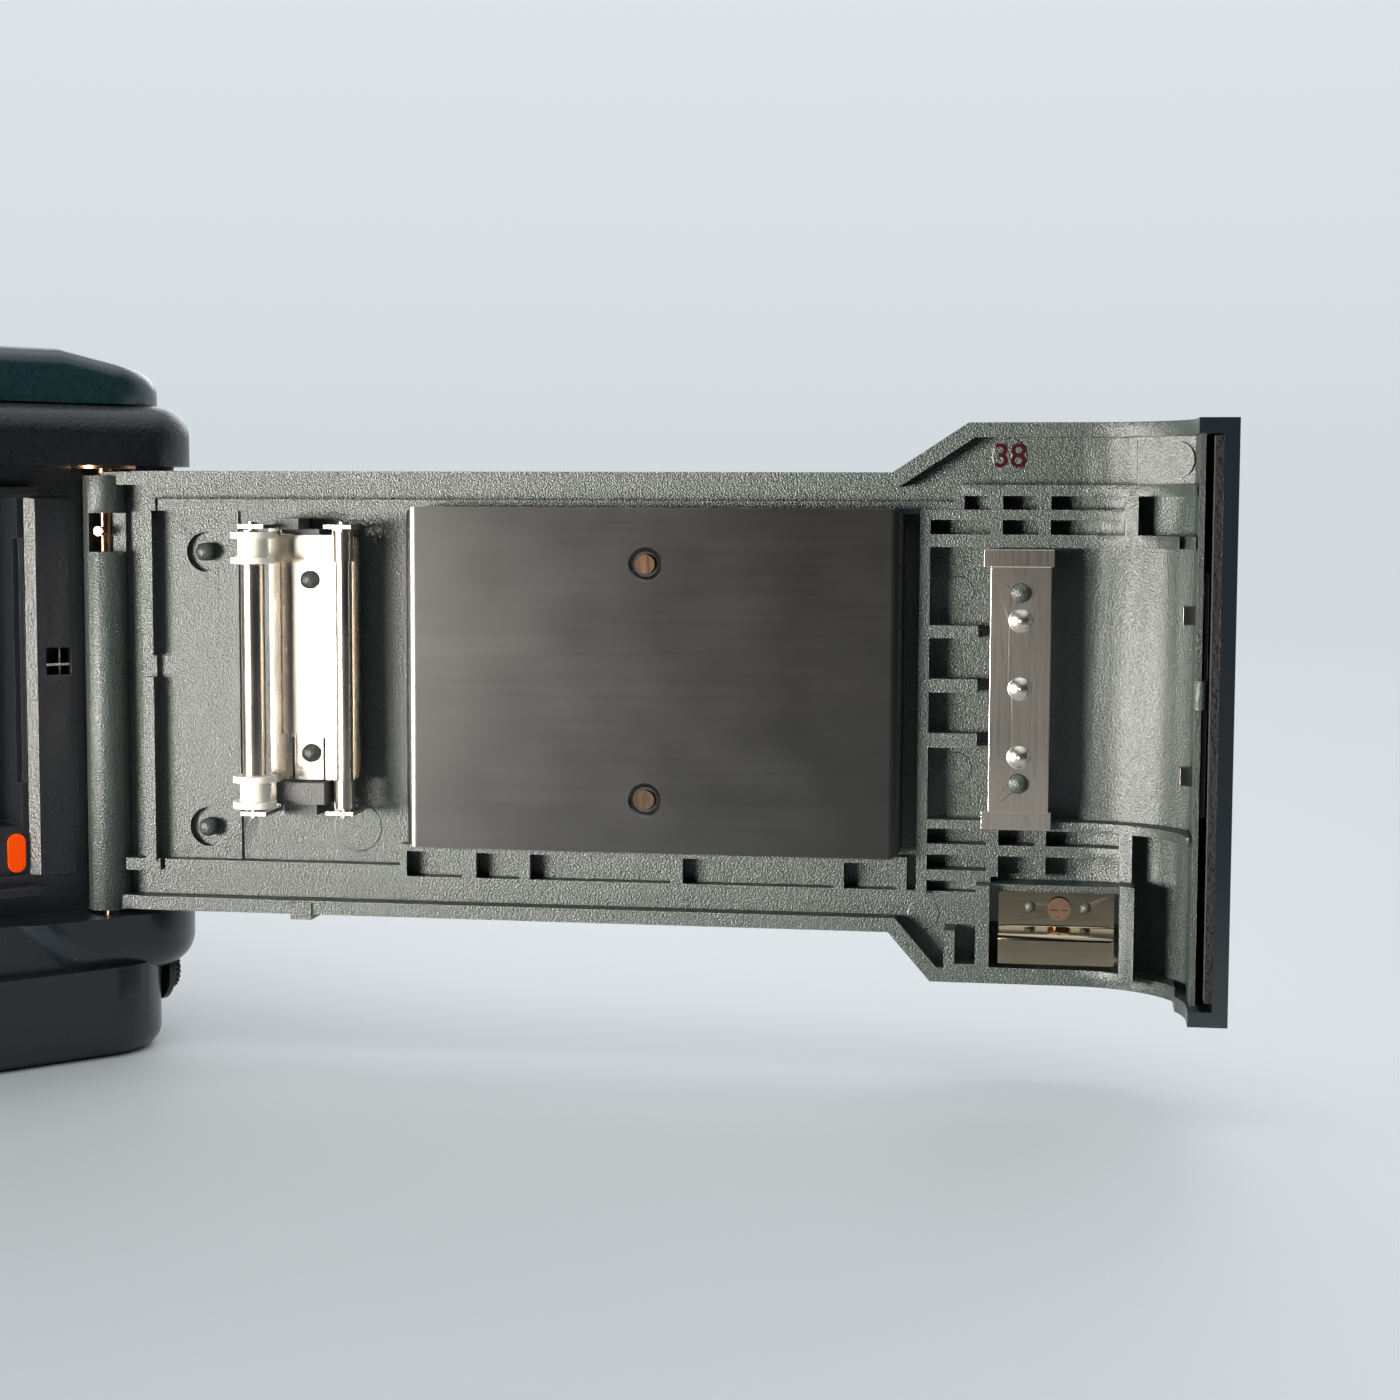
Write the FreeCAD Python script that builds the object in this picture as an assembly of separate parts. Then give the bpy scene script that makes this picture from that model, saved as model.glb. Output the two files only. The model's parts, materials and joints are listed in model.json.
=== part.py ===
import FreeCAD, Part
import math
import os

V = FreeCAD.Vector
X_AXIS = V(1, 0, 0)
Y_AXIS = V(0, 1, 0)
Z_AXIS = V(0, 0, 1)

# Frame: +X to the right of someone behind the camera, +Y along the lens axis to the subject, +Z up.
# The origin is the mouth of the tripod socket, in the base plane.

# Film and lens mount
GATE_WIDTH = 36.0
GATE_HEIGHT = 24.0
ROW_SPACING = 28.17
LENS_AXIS_Z = 44.85
FILM_PLANE_Y = -12.0
FLANGE_DISTANCE = 44.0
FLANGE_Y = FILM_PLANE_Y + FLANGE_DISTANCE

# Clearances
RUNNING_GAP = 0.05
INSERT_GAP = 0.03
TOUCH_GAP = 0.3
DOOR_GAP = 0.6

# Film chambers
CARTRIDGE_X = -(GATE_WIDTH / 2 + 26.0)
CARTRIDGE_Y = -1.6
CARTRIDGE_CHAMBER_R = 12.8
CARTRIDGE_BOTTOM = 15.0
CARTRIDGE_TOP = 70.2
SPOOL_X = 46.5
SPOOL_Y = -0.8
SPOOL_RADIUS = 6.9
SPOOL_CHAMBER_R = 9.2
SPOOL_BOTTOM = 26.9
SPOOL_TOP = 64.9
SPROCKET_X = 31.5
SPROCKET_Y = -7.2
SPROCKET_RADIUS = 3.4
SPROCKET_TOOTH = 1.0
SPROCKET_POCKET_R = 4.9
SPINDLE_BOTTOM = 20.0
SPINDLE_TOP = 67.4

# Overall body
CAST_LEFT = CARTRIDGE_X - CARTRIDGE_CHAMBER_R - 1.8
BODY_LEFT = CAST_LEFT - 4.2
SHOULDER_RIGHT = 77.3
TOP_COVER_RIGHT = 74.4
FOOT_RIGHT = 72.1
SIDE_RIGHT = 77.0
REAR_Y = -20.7
FOOT_REAR_Y = -22.7
TOP_COVER_REAR_Y = -18.2
FRONT_Y = 14.5
HOUSING_FRONT_Y = 28.9
GRIP_FRONT_Y = 36.0
GRIP_LEFT = 45.0
DECK_Z = 10.6
SEAM_Z = 75.8
TOP_Z = 82.0
HUMP_RISE = 16.0
HUMP_Z = TOP_Z + HUMP_RISE
COVER_WALL = 2.0
BELT_WALL = 4.0
BELT_ROUND = 3.8
SHOULDER_TOP = 20.0

# Hinge and door, in door measures: u runs from the hinge axis to the free end, d towards the film
HINGE_X = 65.2
HINGE_Y = -17.2
DOOR_OPEN = 133.2
DOOR_LENGTH = HINGE_X - BODY_LEFT
DOOR_BOTTOM = 17.0
DOOR_TOP = 68.05
DOOR_SKIN = 1.6
DOOR_OUTER_D = -2.3
DOOR_FLOOR_D = DOOR_OUTER_D + DOOR_SKIN
DOOR_END_RADIUS = 15.6
DOOR_END_D = 16.3
RIM_HEIGHT = 2.5
RIM_WALL = 1.6
FLARE_START_U = DOOR_LENGTH - 36.3
FLARE_TOP_U = DOOR_LENGTH - 28.0
FLARE_BOTTOM_U = DOOR_LENGTH - 31.6
FLARE_TOP = 73.5
FLARE_BOTTOM = 11.6
END_CAP_U = DOOR_LENGTH - 5.1
END_CAP_BOTTOM = 10.6
BARREL_RADIUS = 2.5
BARREL_BOTTOM = 16.8
BARREL_TOP = 67.5
PIN_RADIUS = 0.8
PIN_BORE = PIN_RADIUS + RUNNING_GAP
BARREL_POCKET = BARREL_RADIUS + 0.4

# Rear of the casting
CAST_RIGHT = 63.3
CAST_REAR_Y = -15.0
CAST_FRONT_Y = 12.3
CAST_SPLIT_Y = -0.9
GATE_WALL_Y = -11.0
GATE_WALL = 3.0
TRAP_RIB_Y = -16.6
EDGE_PANEL_Y = -15.6
EDGE_WALL_X = 57.3
EDGE_BEVEL = 0.75
EDGE_PANEL_RIGHT = 62.0
MARK_FACE_Y = -14.2
SIDE_POCKET_Y = -12.8
SIDE_POCKET_X = EDGE_WALL_X - EDGE_BEVEL - 0.15
OPENING_TOP = DOOR_TOP + DOOR_GAP
OPENING_BOTTOM = DOOR_BOTTOM - DOOR_GAP
FLARE_OPENING_TOP = FLARE_TOP + DOOR_GAP
FLARE_OPENING_BOTTOM = FLARE_BOTTOM - DOOR_GAP
FLARE_START_X = HINGE_X - FLARE_START_U + DOOR_GAP
FLARE_TOP_X = HINGE_X - FLARE_TOP_U + DOOR_GAP
FLARE_BOTTOM_X = HINGE_X - FLARE_BOTTOM_U + DOOR_GAP
END_CAP_X = HINGE_X - END_CAP_U + DOOR_GAP

# Rollers and plates on the door, in door measures
PLATE_U = (37.2, 93.2)
PLATE_Z = (25.6, 64.1)
PLATE_FACE_D = 5.0
PLATE_THICK = 0.9
PLATE_TRAVEL = 0.8
PLATE_RIVET_U = 64.7
PLATE_RIVET_Z = (31.6, 57.85)
FILM_ROLLER_U = 19.9
FILM_ROLLER_D = 6.0
FILM_ROLLER_R = 1.325
GUIDE_ROLLER_U = 29.9
GUIDE_ROLLER_D = 4.0
GUIDE_ROLLER_R = 0.95
GUIDE_COLLAR_R = 1.13
BRACKET_U = (20.5, 31.0)
BRACKET_Z = (32.7, 60.8)
CHEEK_Z = ((29.05, 29.5), (61.55, 62.0))
SHAFT_RADIUS = 0.6
SHAFT_Z = (28.75, 62.3)
BRACKET_D = 1.2
BRACKET_THICK = 0.8
BRACKET_TOP = BRACKET_D + BRACKET_THICK
BRACKET_POST_U = 25.25
BRACKET_POST_Z = (35.8, 55.7)
BOSS_Z = (26.65, 58.75)
STAKE_RADIUS = 1.05
SPRING_U = (DOOR_LENGTH - 25.35, DOOR_LENGTH - 18.8)
SPRING_Z = (31.4, 57.4)
SPRING_D = 3.6
CLIP_U = (DOOR_LENGTH - 24.0, DOOR_LENGTH - 11.5)
CLIP_SCREW_U = DOOR_LENGTH - 17.45
CLIP_PIN_U = (DOOR_LENGTH - 20.6, DOOR_LENGTH - 14.6)
FACET_U = (DOOR_LENGTH - 9.85, DOOR_LENGTH - 3.9)
FACET_RISE = (2.9, 6.5)
FACET_PAD = (4.3, 69.4, 1.95)
LATCH_U = DOOR_LENGTH - 3.05
LATCH_D = 8.6
LATCH_TRAVEL = 2.0
LATCH_HOOK_Z = (35.0, 52.0)
LATCH_KNOB_Z = (41.6, 46.4)
PIN_KNOB_Z = 61.1
ROLLER_RINGS_Z = ((29.9, 33.55), (57.6, 61.15))

# Mirror
MIRROR_PIVOT_Y = -1.5
MIRROR_PIVOT_Z = 59.5
MIRROR_LENGTH = 31.0
MIRROR_HALF = 16.5
MIRROR_ANGLE = 45.0

# Shutter blades
BLADE_HEIGHT = 9.5
BLADE_STEP = 8.3
BLADE_HALF = 25.6
BLADE_THICK = 0.14
BLADE_PITCH = 0.4
BLADE_COUNT = 3

# Lens mount
THROAT_RADIUS = 23.5
MOUNT_RADIUS = 29.0
MOUNT_TAB_RADIUS = 21.9
MOUNT_SCREW_CIRCLE = 26.6
MOUNT_SCREW_COUNT = 5

# Tripod socket and strap lugs
SOCKET_BORE = 3.2
SOCKET_DEPTH = 5.5
SOCKET_OUTER = 5.0
SOCKET_HEIGHT = 6.5
LUG_BORE = 1.7
LUG_RADIUS = 3.4
LUG_THICK = 2.0
LUG_Y = 4.0
LUG_Z = 60.0
LUG_REACH = 3.2

# Screw in the foot, dials and buttons on top
GRIP_SCREW_X = FOOT_RIGHT
GRIP_SCREW_Y = -14.0
GRIP_SCREW_Z = 8.3
GRIP_SCREW_COLLAR_R = 3.8
DIAL_AXIS = (12.0, 78.6)
MODE_DIAL_X = -44.0
MODE_DIAL_Y = -3.0
TOP_BUTTONS = ((33.5, 4.5), (40.5, 4.5))
SHUTTER_X = 62.0
SHUTTER_Y = 24.0

# Finder, and the pins that read the cartridge's code
FINDER_HALF_X = 9.5
FINDER_Z = (TOP_Z + HUMP_Z) / 2 - 3.5
FINDER_HALF_Z = 5.0
PRISM_BOTTOM = 63.4
PRISM_TOP = HUMP_Z - 7.0
DX_PIN_RADIUS = 0.75
DX_PINS_Z = tuple(34.8 + 4.4 * i for i in range(6))

# Sub mirror, in the main mirror's own measures
SUB_MIRROR_REACH = 17.5
SUB_MIRROR_DROP = -1.9

FAR = 300.0


def box(x0, x1, y0, y1, z0, z1):
    return Part.makeBox(x1 - x0, y1 - y0, z1 - z0, V(x0, y0, z0))


def rod(radius, start, end):
    direction = end - start
    return Part.makeCylinder(radius, direction.Length, start, direction)


def fused(shapes):
    whole = shapes[0].multiFuse(shapes[1:]) if len(shapes) > 1 else shapes[0]
    return whole.removeSplitter()


def rounded_wire(corners, place):
    """Closed wire through (a, b, radius) corners, with a tangent arc at each corner that has a radius."""
    count = len(corners)
    runs = []
    for i, (a, b, radius) in enumerate(corners):
        corner = V(a, b, 0)
        before = V(*corners[i - 1][:2], 0)
        after = V(*corners[(i + 1) % count][:2], 0)
        into = (before - corner).normalize()
        out = (after - corner).normalize()
        if radius == 0:
            runs.append((corner, None, corner))
            continue
        half = into.getAngle(out) / 2
        reach = radius / math.tan(half)
        centre = corner + (into + out).normalize() * (radius / math.sin(half))
        middle = centre + (corner - centre).normalize() * radius
        runs.append((corner + into * reach, middle, corner + out * reach))
    edges = []
    for i, (start, middle, end) in enumerate(runs):
        if middle is not None:
            edges.append(Part.Arc(*[place(p.x, p.y) for p in (start, middle, end)]).toShape())
        following = runs[(i + 1) % count][0]
        if (following - end).Length > 1e-6:
            edges.append(Part.LineSegment(place(end.x, end.y), place(following.x, following.y)).toShape())
    return Part.Wire(edges)


def slab_xy(corners, z0, z1):
    wire = rounded_wire(corners, lambda a, b: V(a, b, z0))
    return Part.Face(wire).extrude(Z_AXIS * (z1 - z0))


def slab_xz(corners, y0, y1):
    wire = rounded_wire(corners, lambda a, b: V(a, y0, b))
    return Part.Face(wire).extrude(Y_AXIS * (y1 - y0))


def slab_yz(corners, x0, x1):
    wire = rounded_wire(corners, lambda a, b: V(x0, a, b))
    return Part.Face(wire).extrude(X_AXIS * (x1 - x0))


def softened(shape, radius, wanted):
    edges = [edge for edge in shape.Edges if wanted(edge)]
    return shape.makeFillet(radius, edges)


def at_height(z):
    return lambda edge: abs(edge.BoundBox.ZMin - z) < 1e-3 and abs(edge.BoundBox.ZMax - z) < 1e-3


def toothed_disc(centre, axis, radius, height, depth, count):
    """Disc with V notches round its rim, for a knurled head or a dial."""
    disc = Part.makeCylinder(radius, height, centre, axis)
    side = Y_AXIS if abs(axis.dot(X_AXIS)) > 0.5 else X_AXIS
    half = math.pi * radius / count * 0.7
    across = axis.cross(side)
    rim = centre + side * (radius + depth)
    tip = centre + side * (radius - depth)
    notch = Part.Face(Part.makePolygon([rim + across * half * 2, tip, rim - across * half * 2,
                                        rim + across * half * 2]))
    notch = notch.extrude(axis * height)
    cuts = []
    for i in range(count):
        tool = notch.copy()
        tool.rotate(centre, axis, 360.0 * i / count)
        cuts.append(tool)
    return disc.cut(cuts)


# Door pieces are drawn with the door shut and are turned to the open position at the end.


def door_point(u, d, z):
    return V(HINGE_X - u, HINGE_Y + d, z)


def door_box(u0, u1, d0, d1, z0, z1):
    return box(HINGE_X - u1, HINGE_X - u0, HINGE_Y + d0, HINGE_Y + d1, z0, z1)


def from_end(u):
    """Door measure of a place given by its distance from the door's free end."""
    return DOOR_LENGTH - u


def door_post(u, z, radius, d0, d1):
    return rod(radius, door_point(u, d0, z), door_point(u, d1, z))


def domed_post(u, z, radius, d0, d1):
    """Post of the door whose top is a shallow dome."""
    rise = 0.6 * radius
    ball = (radius ** 2 + rise ** 2) / (2 * rise)
    cap = Part.makeSphere(ball, door_point(u, d1 - ball, z))
    cap = cap.common(door_post(u, z, radius, d1 - rise, d1 + 1))
    return fused([door_post(u, z, radius, d0, d1 - rise + 0.01), cap])


def door_band(low, high, z0, z1, u0=0.0):
    """Layer of the door between depths low and high, which turns up round the curved end."""
    outer = DOOR_END_RADIUS - (low - DOOR_OUTER_D)
    inner = DOOR_END_RADIUS - (high - DOOR_OUTER_D)
    u_out = DOOR_LENGTH - (low - DOOR_OUTER_D)
    u_in = DOOR_LENGTH - (high - DOOR_OUTER_D)
    corners = [(u0, low, 0), (u_out, low, outer), (u_out, DOOR_END_D, 0),
               (u_in, DOOR_END_D, 0), (u_in, high, inner), (u0, high, 0)]
    wire = rounded_wire(corners, lambda u, d: door_point(u, d, z0))
    return Part.Face(wire).extrude(Z_AXIS * (z1 - z0))


def floor_rib(height, u0, u1, z0, z1):
    """Rib that stands on the door's inner face and follows it round the curved end."""
    band = door_band(DOOR_FLOOR_D - DOOR_SKIN / 2, DOOR_FLOOR_D + height, z0, z1)
    return band.common(door_box(u0, u1, DOOR_OUTER_D, 12.0, z0, z1))


def door_outline(inset):
    """Face-on shape of the door, smaller all round by inset apart from the hinge end."""
    slope = inset * 0.45
    corners = [(0.0, DOOR_BOTTOM + inset), (FLARE_START_U + slope, DOOR_BOTTOM + inset),
               (FLARE_BOTTOM_U + slope, FLARE_BOTTOM + inset), (END_CAP_U, FLARE_BOTTOM + inset),
               (END_CAP_U, END_CAP_BOTTOM + inset), (DOOR_LENGTH - inset, END_CAP_BOTTOM + inset),
               (DOOR_LENGTH - inset, FLARE_TOP - inset), (FLARE_TOP_U + slope, FLARE_TOP - inset),
               (FLARE_START_U + slope, DOOR_TOP - inset), (0.0, DOOR_TOP - inset)]
    points = [door_point(u, DOOR_OUTER_D, z) for u, z in corners]
    face = Part.Face(Part.makePolygon(points + points[:1]))
    return face.extrude(Y_AXIS * (DOOR_END_D - DOOR_OUTER_D))


def back_door():
    rib = 1.9
    grid = 2.7
    low_z, high_z = END_CAP_BOTTOM, FLARE_TOP
    whole = door_outline(0.0)
    shell = door_band(DOOR_OUTER_D, DOOR_FLOOR_D, low_z, high_z).common(whole)
    rim_ring = whole.cut(door_outline(RIM_WALL))
    rim = door_band(DOOR_OUTER_D, DOOR_FLOOR_D + RIM_HEIGHT, low_z, high_z, 4.0).common(rim_ring)
    short_rims = [door_box(0.05, 4.0, DOOR_FLOOR_D, 1.5, DOOR_BOTTOM, DOOR_BOTTOM + RIM_WALL),
                  door_box(0.05, 4.0, DOOR_FLOOR_D, 1.5, DOOR_TOP - RIM_WALL, DOOR_TOP - 0.15)]
    barrel = rod(BARREL_RADIUS, door_point(0, 0, BARREL_BOTTOM), door_point(0, 0, BARREL_TOP))

    # Light trap ribs, the upright rib with its notch, and the raised floor by the hinge
    trap = ((6.9, from_end(28.7), 63.5, 64.85), (5.0, 6.6, 63.5, 64.85), (7.2, 36.3, 21.55, 22.95),
            (2.4, 6.6, 21.55, 22.95), (36.3, from_end(26.5), 20.4, 21.7))
    ribs = [floor_rib(rib, *place) for place in trap]
    ribs += [floor_rib(rib + 0.2, 4.95, 6.2, 22.6, 63.5), floor_rib(0.3, 6.2, 16.0, 22.95, 63.5)]
    # Pocket row under the pressure plate
    u0, u1 = PLATE_U[0] - 1.7, PLATE_U[1] + 0.5
    ribs.append(floor_rib(rib, u0, u1, 24.6, 25.4))
    for left, width in ((u0, 0.8), (u0 + 7.3, 1.7), (u0 + 14.0, 1.3), (u0 + 31.5, 1.45), (u1 - 8.2, 1.2),
                        (u1 - 1.2, 1.2)):
        ribs.append(floor_rib(rib, left, left + width, 21.7, 24.6))
    # Upright rib and fingers beside the cartridge spring
    ribs.append(floor_rib(grid, from_end(33.2), from_end(32.05), 21.5, 64.0))
    for low, high in ((49.9, 51.3), (43.9, 45.4), (37.8, 39.4)):
        ribs.append(floor_rib(grid, from_end(32.05), from_end(26.7), low, high))
    # Grids above and below the cartridge
    for left, right, low, high in ((28.7, 4.0, 65.5, 66.7), (33.0, 9.8, 62.9, 64.0), (33.0, 4.0, 59.9, 61.3),
                                   (33.0, 4.0, 28.8, 29.8), (33.0, 9.8, 25.9, 27.1),
                                   (33.0, 25.0, 23.0, 24.2)):
        ribs.append(floor_rib(grid, from_end(left), from_end(right), low, high))
    for left, right in ((25.5, 24.2), (20.25, 19.0), (11.1, 9.7)):
        ribs.append(floor_rib(grid, from_end(left), from_end(right), 60.5, 66.0))
        ribs.append(floor_rib(grid, from_end(left), from_end(right), 23.6, 29.3))
    ribs.append(floor_rib(grid + 0.8, from_end(7.6), from_end(5.6), 59.9, 61.3))
    ribs.append(floor_rib(rib, from_end(29.6), from_end(28.4), 63.5, 66.7))
    # Box round the cartridge clip
    clip_wall, low_wall = 5.6, 4.2
    for height, left, right, low, high in ((clip_wall, 11.0, 9.5, 12.8, 23.6),
                                           (clip_wall, 26.5, 25.0, 12.8, 23.0),
                                           (clip_wall, 26.5, 9.5, 12.8, 14.0),
                                           (low_wall, 30.0, 26.5, 12.8, 14.0),
                                           (low_wall, 30.0, 28.8, 14.0, 17.7)):
        ribs.append(floor_rib(height, from_end(left), from_end(right), low, high))
    seat = door_box(from_end(25.0), from_end(11.0), DOOR_FLOOR_D, 3.4, 18.9, 23.0)

    # Posts that hold the metal parts, and the bosses beside the rollers
    posts = [domed_post(12.05, z, STAKE_RADIUS, DOOR_OUTER_D + 0.5, 0.7) for z in BOSS_Z]
    spring_mid = (SPRING_U[0] + SPRING_U[1]) / 2
    for z in (34.2, 55.0):
        posts.append(domed_post(spring_mid, z, STAKE_RADIUS - INSERT_GAP, DOOR_FLOOR_D, SPRING_D + 1.1))
    for z in BRACKET_POST_Z:
        posts.append(domed_post(BRACKET_POST_U, z, STAKE_RADIUS - INSERT_GAP, DOOR_FLOOR_D,
                                BRACKET_TOP + 0.8))
    for u in CLIP_PIN_U:
        posts.append(domed_post(u, 20.7, 0.6 - INSERT_GAP, 3.0, 4.5))
    spring_pads = [door_box(SPRING_U[0] - 0.45, SPRING_U[1] + 0.1, DOOR_FLOOR_D, 2.9, low, high)
                   for low, high in ((29.0, 30.6), (58.3, 59.7))]
    bracket_pads = [door_box(22.0, 30.0, DOOR_FLOOR_D, BRACKET_D, z, z + 3.0) for z in (33.0, 56.0)]
    plate_pad = door_box(PLATE_RIVET_U - 3.7, PLATE_RIVET_U + 3.7, DOOR_FLOOR_D, 0.2, 34.0, 55.4)

    # Inner wall of the curved end with its two latch windows, and the caps that close the end
    wall_u = LATCH_U - 0.75
    inner_wall = door_box(wall_u, wall_u + 0.6, 1.5, 13.2, FLARE_BOTTOM, FLARE_TOP - RIM_WALL / 2)
    caps = [door_box(wall_u, DOOR_LENGTH, 4.0, DOOR_END_D, END_CAP_BOTTOM, END_CAP_BOTTOM + RIM_WALL),
            door_box(wall_u, DOOR_LENGTH, 4.0, DOOR_END_D, FLARE_TOP - RIM_WALL, FLARE_TOP)]
    outside = box(-FAR, FAR, -FAR, FAR, -FAR, FAR).cut(door_hull())
    caps = [cap.cut(outside) for cap in caps]
    bump = rod(0.7, door_point(wall_u + 0.5, 13.2, 43.4), door_point(wall_u + 0.5, 13.2, 46.4))
    lug = door_box(22.6, 25.1, DOOR_OUTER_D, DOOR_FLOOR_D + RIM_HEIGHT + 0.2, DOOR_BOTTOM - 0.6,
                   DOOR_BOTTOM + 1.4)
    # Flat facet with a round pad, in the upper corner of the curved end
    facet_z = (66.6, FLARE_TOP - RIM_WALL / 2)
    slope = [(FACET_U[0], DOOR_FLOOR_D - 0.4), (FACET_U[0], DOOR_FLOOR_D + FACET_RISE[0]),
             (FACET_U[1], DOOR_FLOOR_D + FACET_RISE[1]), (from_end(3.4), DOOR_FLOOR_D + FACET_RISE[1])]
    facet = Part.Face(Part.makePolygon([door_point(u, d, facet_z[0]) for u, d in slope + slope[:1]]))
    facet = facet.extrude(Z_AXIS * (facet_z[1] - facet_z[0])).common(door_hull())
    run, climb = FACET_U[1] - FACET_U[0], FACET_RISE[1] - FACET_RISE[0]
    reach, pad_z, pad_radius = FACET_PAD
    foot = door_point(FACET_U[0] + reach, DOOR_FLOOR_D + FACET_RISE[0] + reach * climb / run, pad_z)
    outward = (door_point(-climb, run, 0) - door_point(0, 0, 0)).normalize()
    pad = rod(pad_radius, foot - outward, foot + outward * 0.3)

    door = fused([shell, rim, barrel, inner_wall, seat, bump, lug, facet, pad] + short_rims + ribs + posts
                 + spring_pads + bracket_pads + [plate_pad] + caps)

    cuts = [rod(PIN_BORE, door_point(0, 0, 0), door_point(0, 0, FAR)),
            door_box(-1.1, 2.5, 0.0, 3.0, 58.7, 63.2),
            door_box(4.0, 7.0, 0.3, 2.0, 44.2, 46.7),
            door_box(LATCH_U + 0.3, DOOR_LENGTH + 1, LATCH_D - 0.2, LATCH_D + 3.0,
                     LATCH_KNOB_Z[0] - 0.2, LATCH_KNOB_Z[1] + LATCH_TRAVEL + 0.2)]
    for z in LATCH_HOOK_Z:
        cuts.append(door_box(wall_u - 2.0, LATCH_U - 0.05, LATCH_D - 0.3, LATCH_D + 1.7, z - 0.1,
                             z + 2.7 + LATCH_TRAVEL))
    for z in BOSS_Z:
        cuts.append(door_post(12.05, z, 2.3, -1.15, 0.9).cut(door_post(12.05, z, STAKE_RADIUS, -1.2, 1.0)))
    return door.cut(cuts)


def door_hull():
    """Everything inside the door's outer skin, to trim pieces that fill its curved end."""
    corners = [(0.0, DOOR_OUTER_D, 0), (DOOR_LENGTH, DOOR_OUTER_D, DOOR_END_RADIUS),
               (DOOR_LENGTH, DOOR_END_D, 0), (0.0, DOOR_END_D, 0)]
    wire = rounded_wire(corners, lambda u, d: door_point(u, d, 0.0))
    return Part.Face(wire).extrude(Z_AXIS * FAR)


def hinge_pin():
    """Upper hinge pin with the small knob that draws it down to free the door."""
    pin = rod(PIN_RADIUS, door_point(0, 0, 54.0), door_point(0, 0, 69.8))
    knob = door_post(0, PIN_KNOB_Z, 0.55, 0.0, 2.2)
    slot = door_box(-0.6, 0.6, 2.0, 2.3, PIN_KNOB_Z - 0.1, PIN_KNOB_Z + 0.1)
    return fused([pin, knob]).cut(slot)


def hinge_pin_lower():
    return rod(PIN_RADIUS, door_point(0, 0, 11.5), door_point(0, 0, 24.0))


def hinge_washer():
    washer = rod(3.6, door_point(0, 0, 68.3), door_point(0, 0, OPENING_TOP))
    return washer.cut(rod(PIN_BORE, door_point(0, 0, 68.0), door_point(0, 0, 69.0)))


def pressure_plate():
    """Flat plate that holds the film to the gate, with rolled short edges and two riveted dimples."""
    lip = 1.8
    (u0, u1), (z0, z1) = PLATE_U, PLATE_Z
    bend = 1.3
    corners = [(u0, PLATE_FACE_D - lip - bend, 0), (u0, PLATE_FACE_D, bend), (u1, PLATE_FACE_D, bend),
               (u1, PLATE_FACE_D - lip - bend, 0), (u1 - PLATE_THICK, PLATE_FACE_D - lip - bend, 0),
               (u1 - PLATE_THICK, PLATE_FACE_D - PLATE_THICK, bend - PLATE_THICK),
               (u0 + PLATE_THICK, PLATE_FACE_D - PLATE_THICK, bend - PLATE_THICK),
               (u0 + PLATE_THICK, PLATE_FACE_D - lip - bend, 0)]
    wire = rounded_wire(corners, lambda u, d: door_point(u, d, z0))
    plate = Part.Face(wire).extrude(Z_AXIS * (z1 - z0))
    face_on = [(HINGE_X - u1, z0, 1.5), (HINGE_X - u0, z0, 1.5), (HINGE_X - u0, z1, 1.5),
               (HINGE_X - u1, z1, 1.5)]
    plate = plate.common(slab_xz(face_on, HINGE_Y, HINGE_Y + 10.0))
    for z in PLATE_RIVET_Z:
        dish = Part.makeCone(STAKE_RADIUS + 0.35, 1.9, 0.5,
                             door_point(PLATE_RIVET_U, PLATE_FACE_D - 0.5, z), Y_AXIS)
        plate = plate.cut([dish, door_post(PLATE_RIVET_U, z, 0.7 + INSERT_GAP, 0, PLATE_FACE_D)])
    return plate


def plate_rivets():
    """Guide pins with domed heads that carry the pressure plate on its spring."""
    pins = []
    for z in PLATE_RIVET_Z:
        head = door_post(PLATE_RIVET_U, z, STAKE_RADIUS, PLATE_FACE_D - 0.5, PLATE_FACE_D - 0.1)
        pins.append(fused([head, door_post(PLATE_RIVET_U, z, 0.7, 1.1, PLATE_FACE_D - 0.5)]))
    return Part.makeCompound(pins)


def plate_spring():
    """Bowed leaf under the pressure plate, fixed to the door in its middle."""
    half_width = 3.0
    thick = 0.3
    rise = PLATE_FACE_D - PLATE_THICK - PLATE_TRAVEL - thick
    z_mid = (PLATE_Z[0] + PLATE_Z[1]) / 2
    reach = 17.0
    foot = 0.2
    place = lambda d, z: V(HINGE_X - PLATE_RIVET_U - half_width, HINGE_Y + d, z)
    low = [place(rise, z_mid - reach), place(foot, z_mid), place(rise, z_mid + reach)]
    high = [place(rise + thick, z_mid + reach), place(foot + thick, z_mid),
            place(rise + thick, z_mid - reach)]
    wire = Part.Wire([Part.Arc(*low).toShape(), Part.LineSegment(low[2], high[0]).toShape(),
                      Part.Arc(*high).toShape(), Part.LineSegment(high[2], low[0]).toShape()])
    leaf = Part.Face(wire).extrude(X_AXIS * half_width * 2)
    holes = [door_post(PLATE_RIVET_U, z, 1.0, -1, PLATE_FACE_D) for z in PLATE_RIVET_Z]
    return leaf.cut(holes + [door_box(60, 69, -3.0, foot, 20, 70)])


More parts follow.
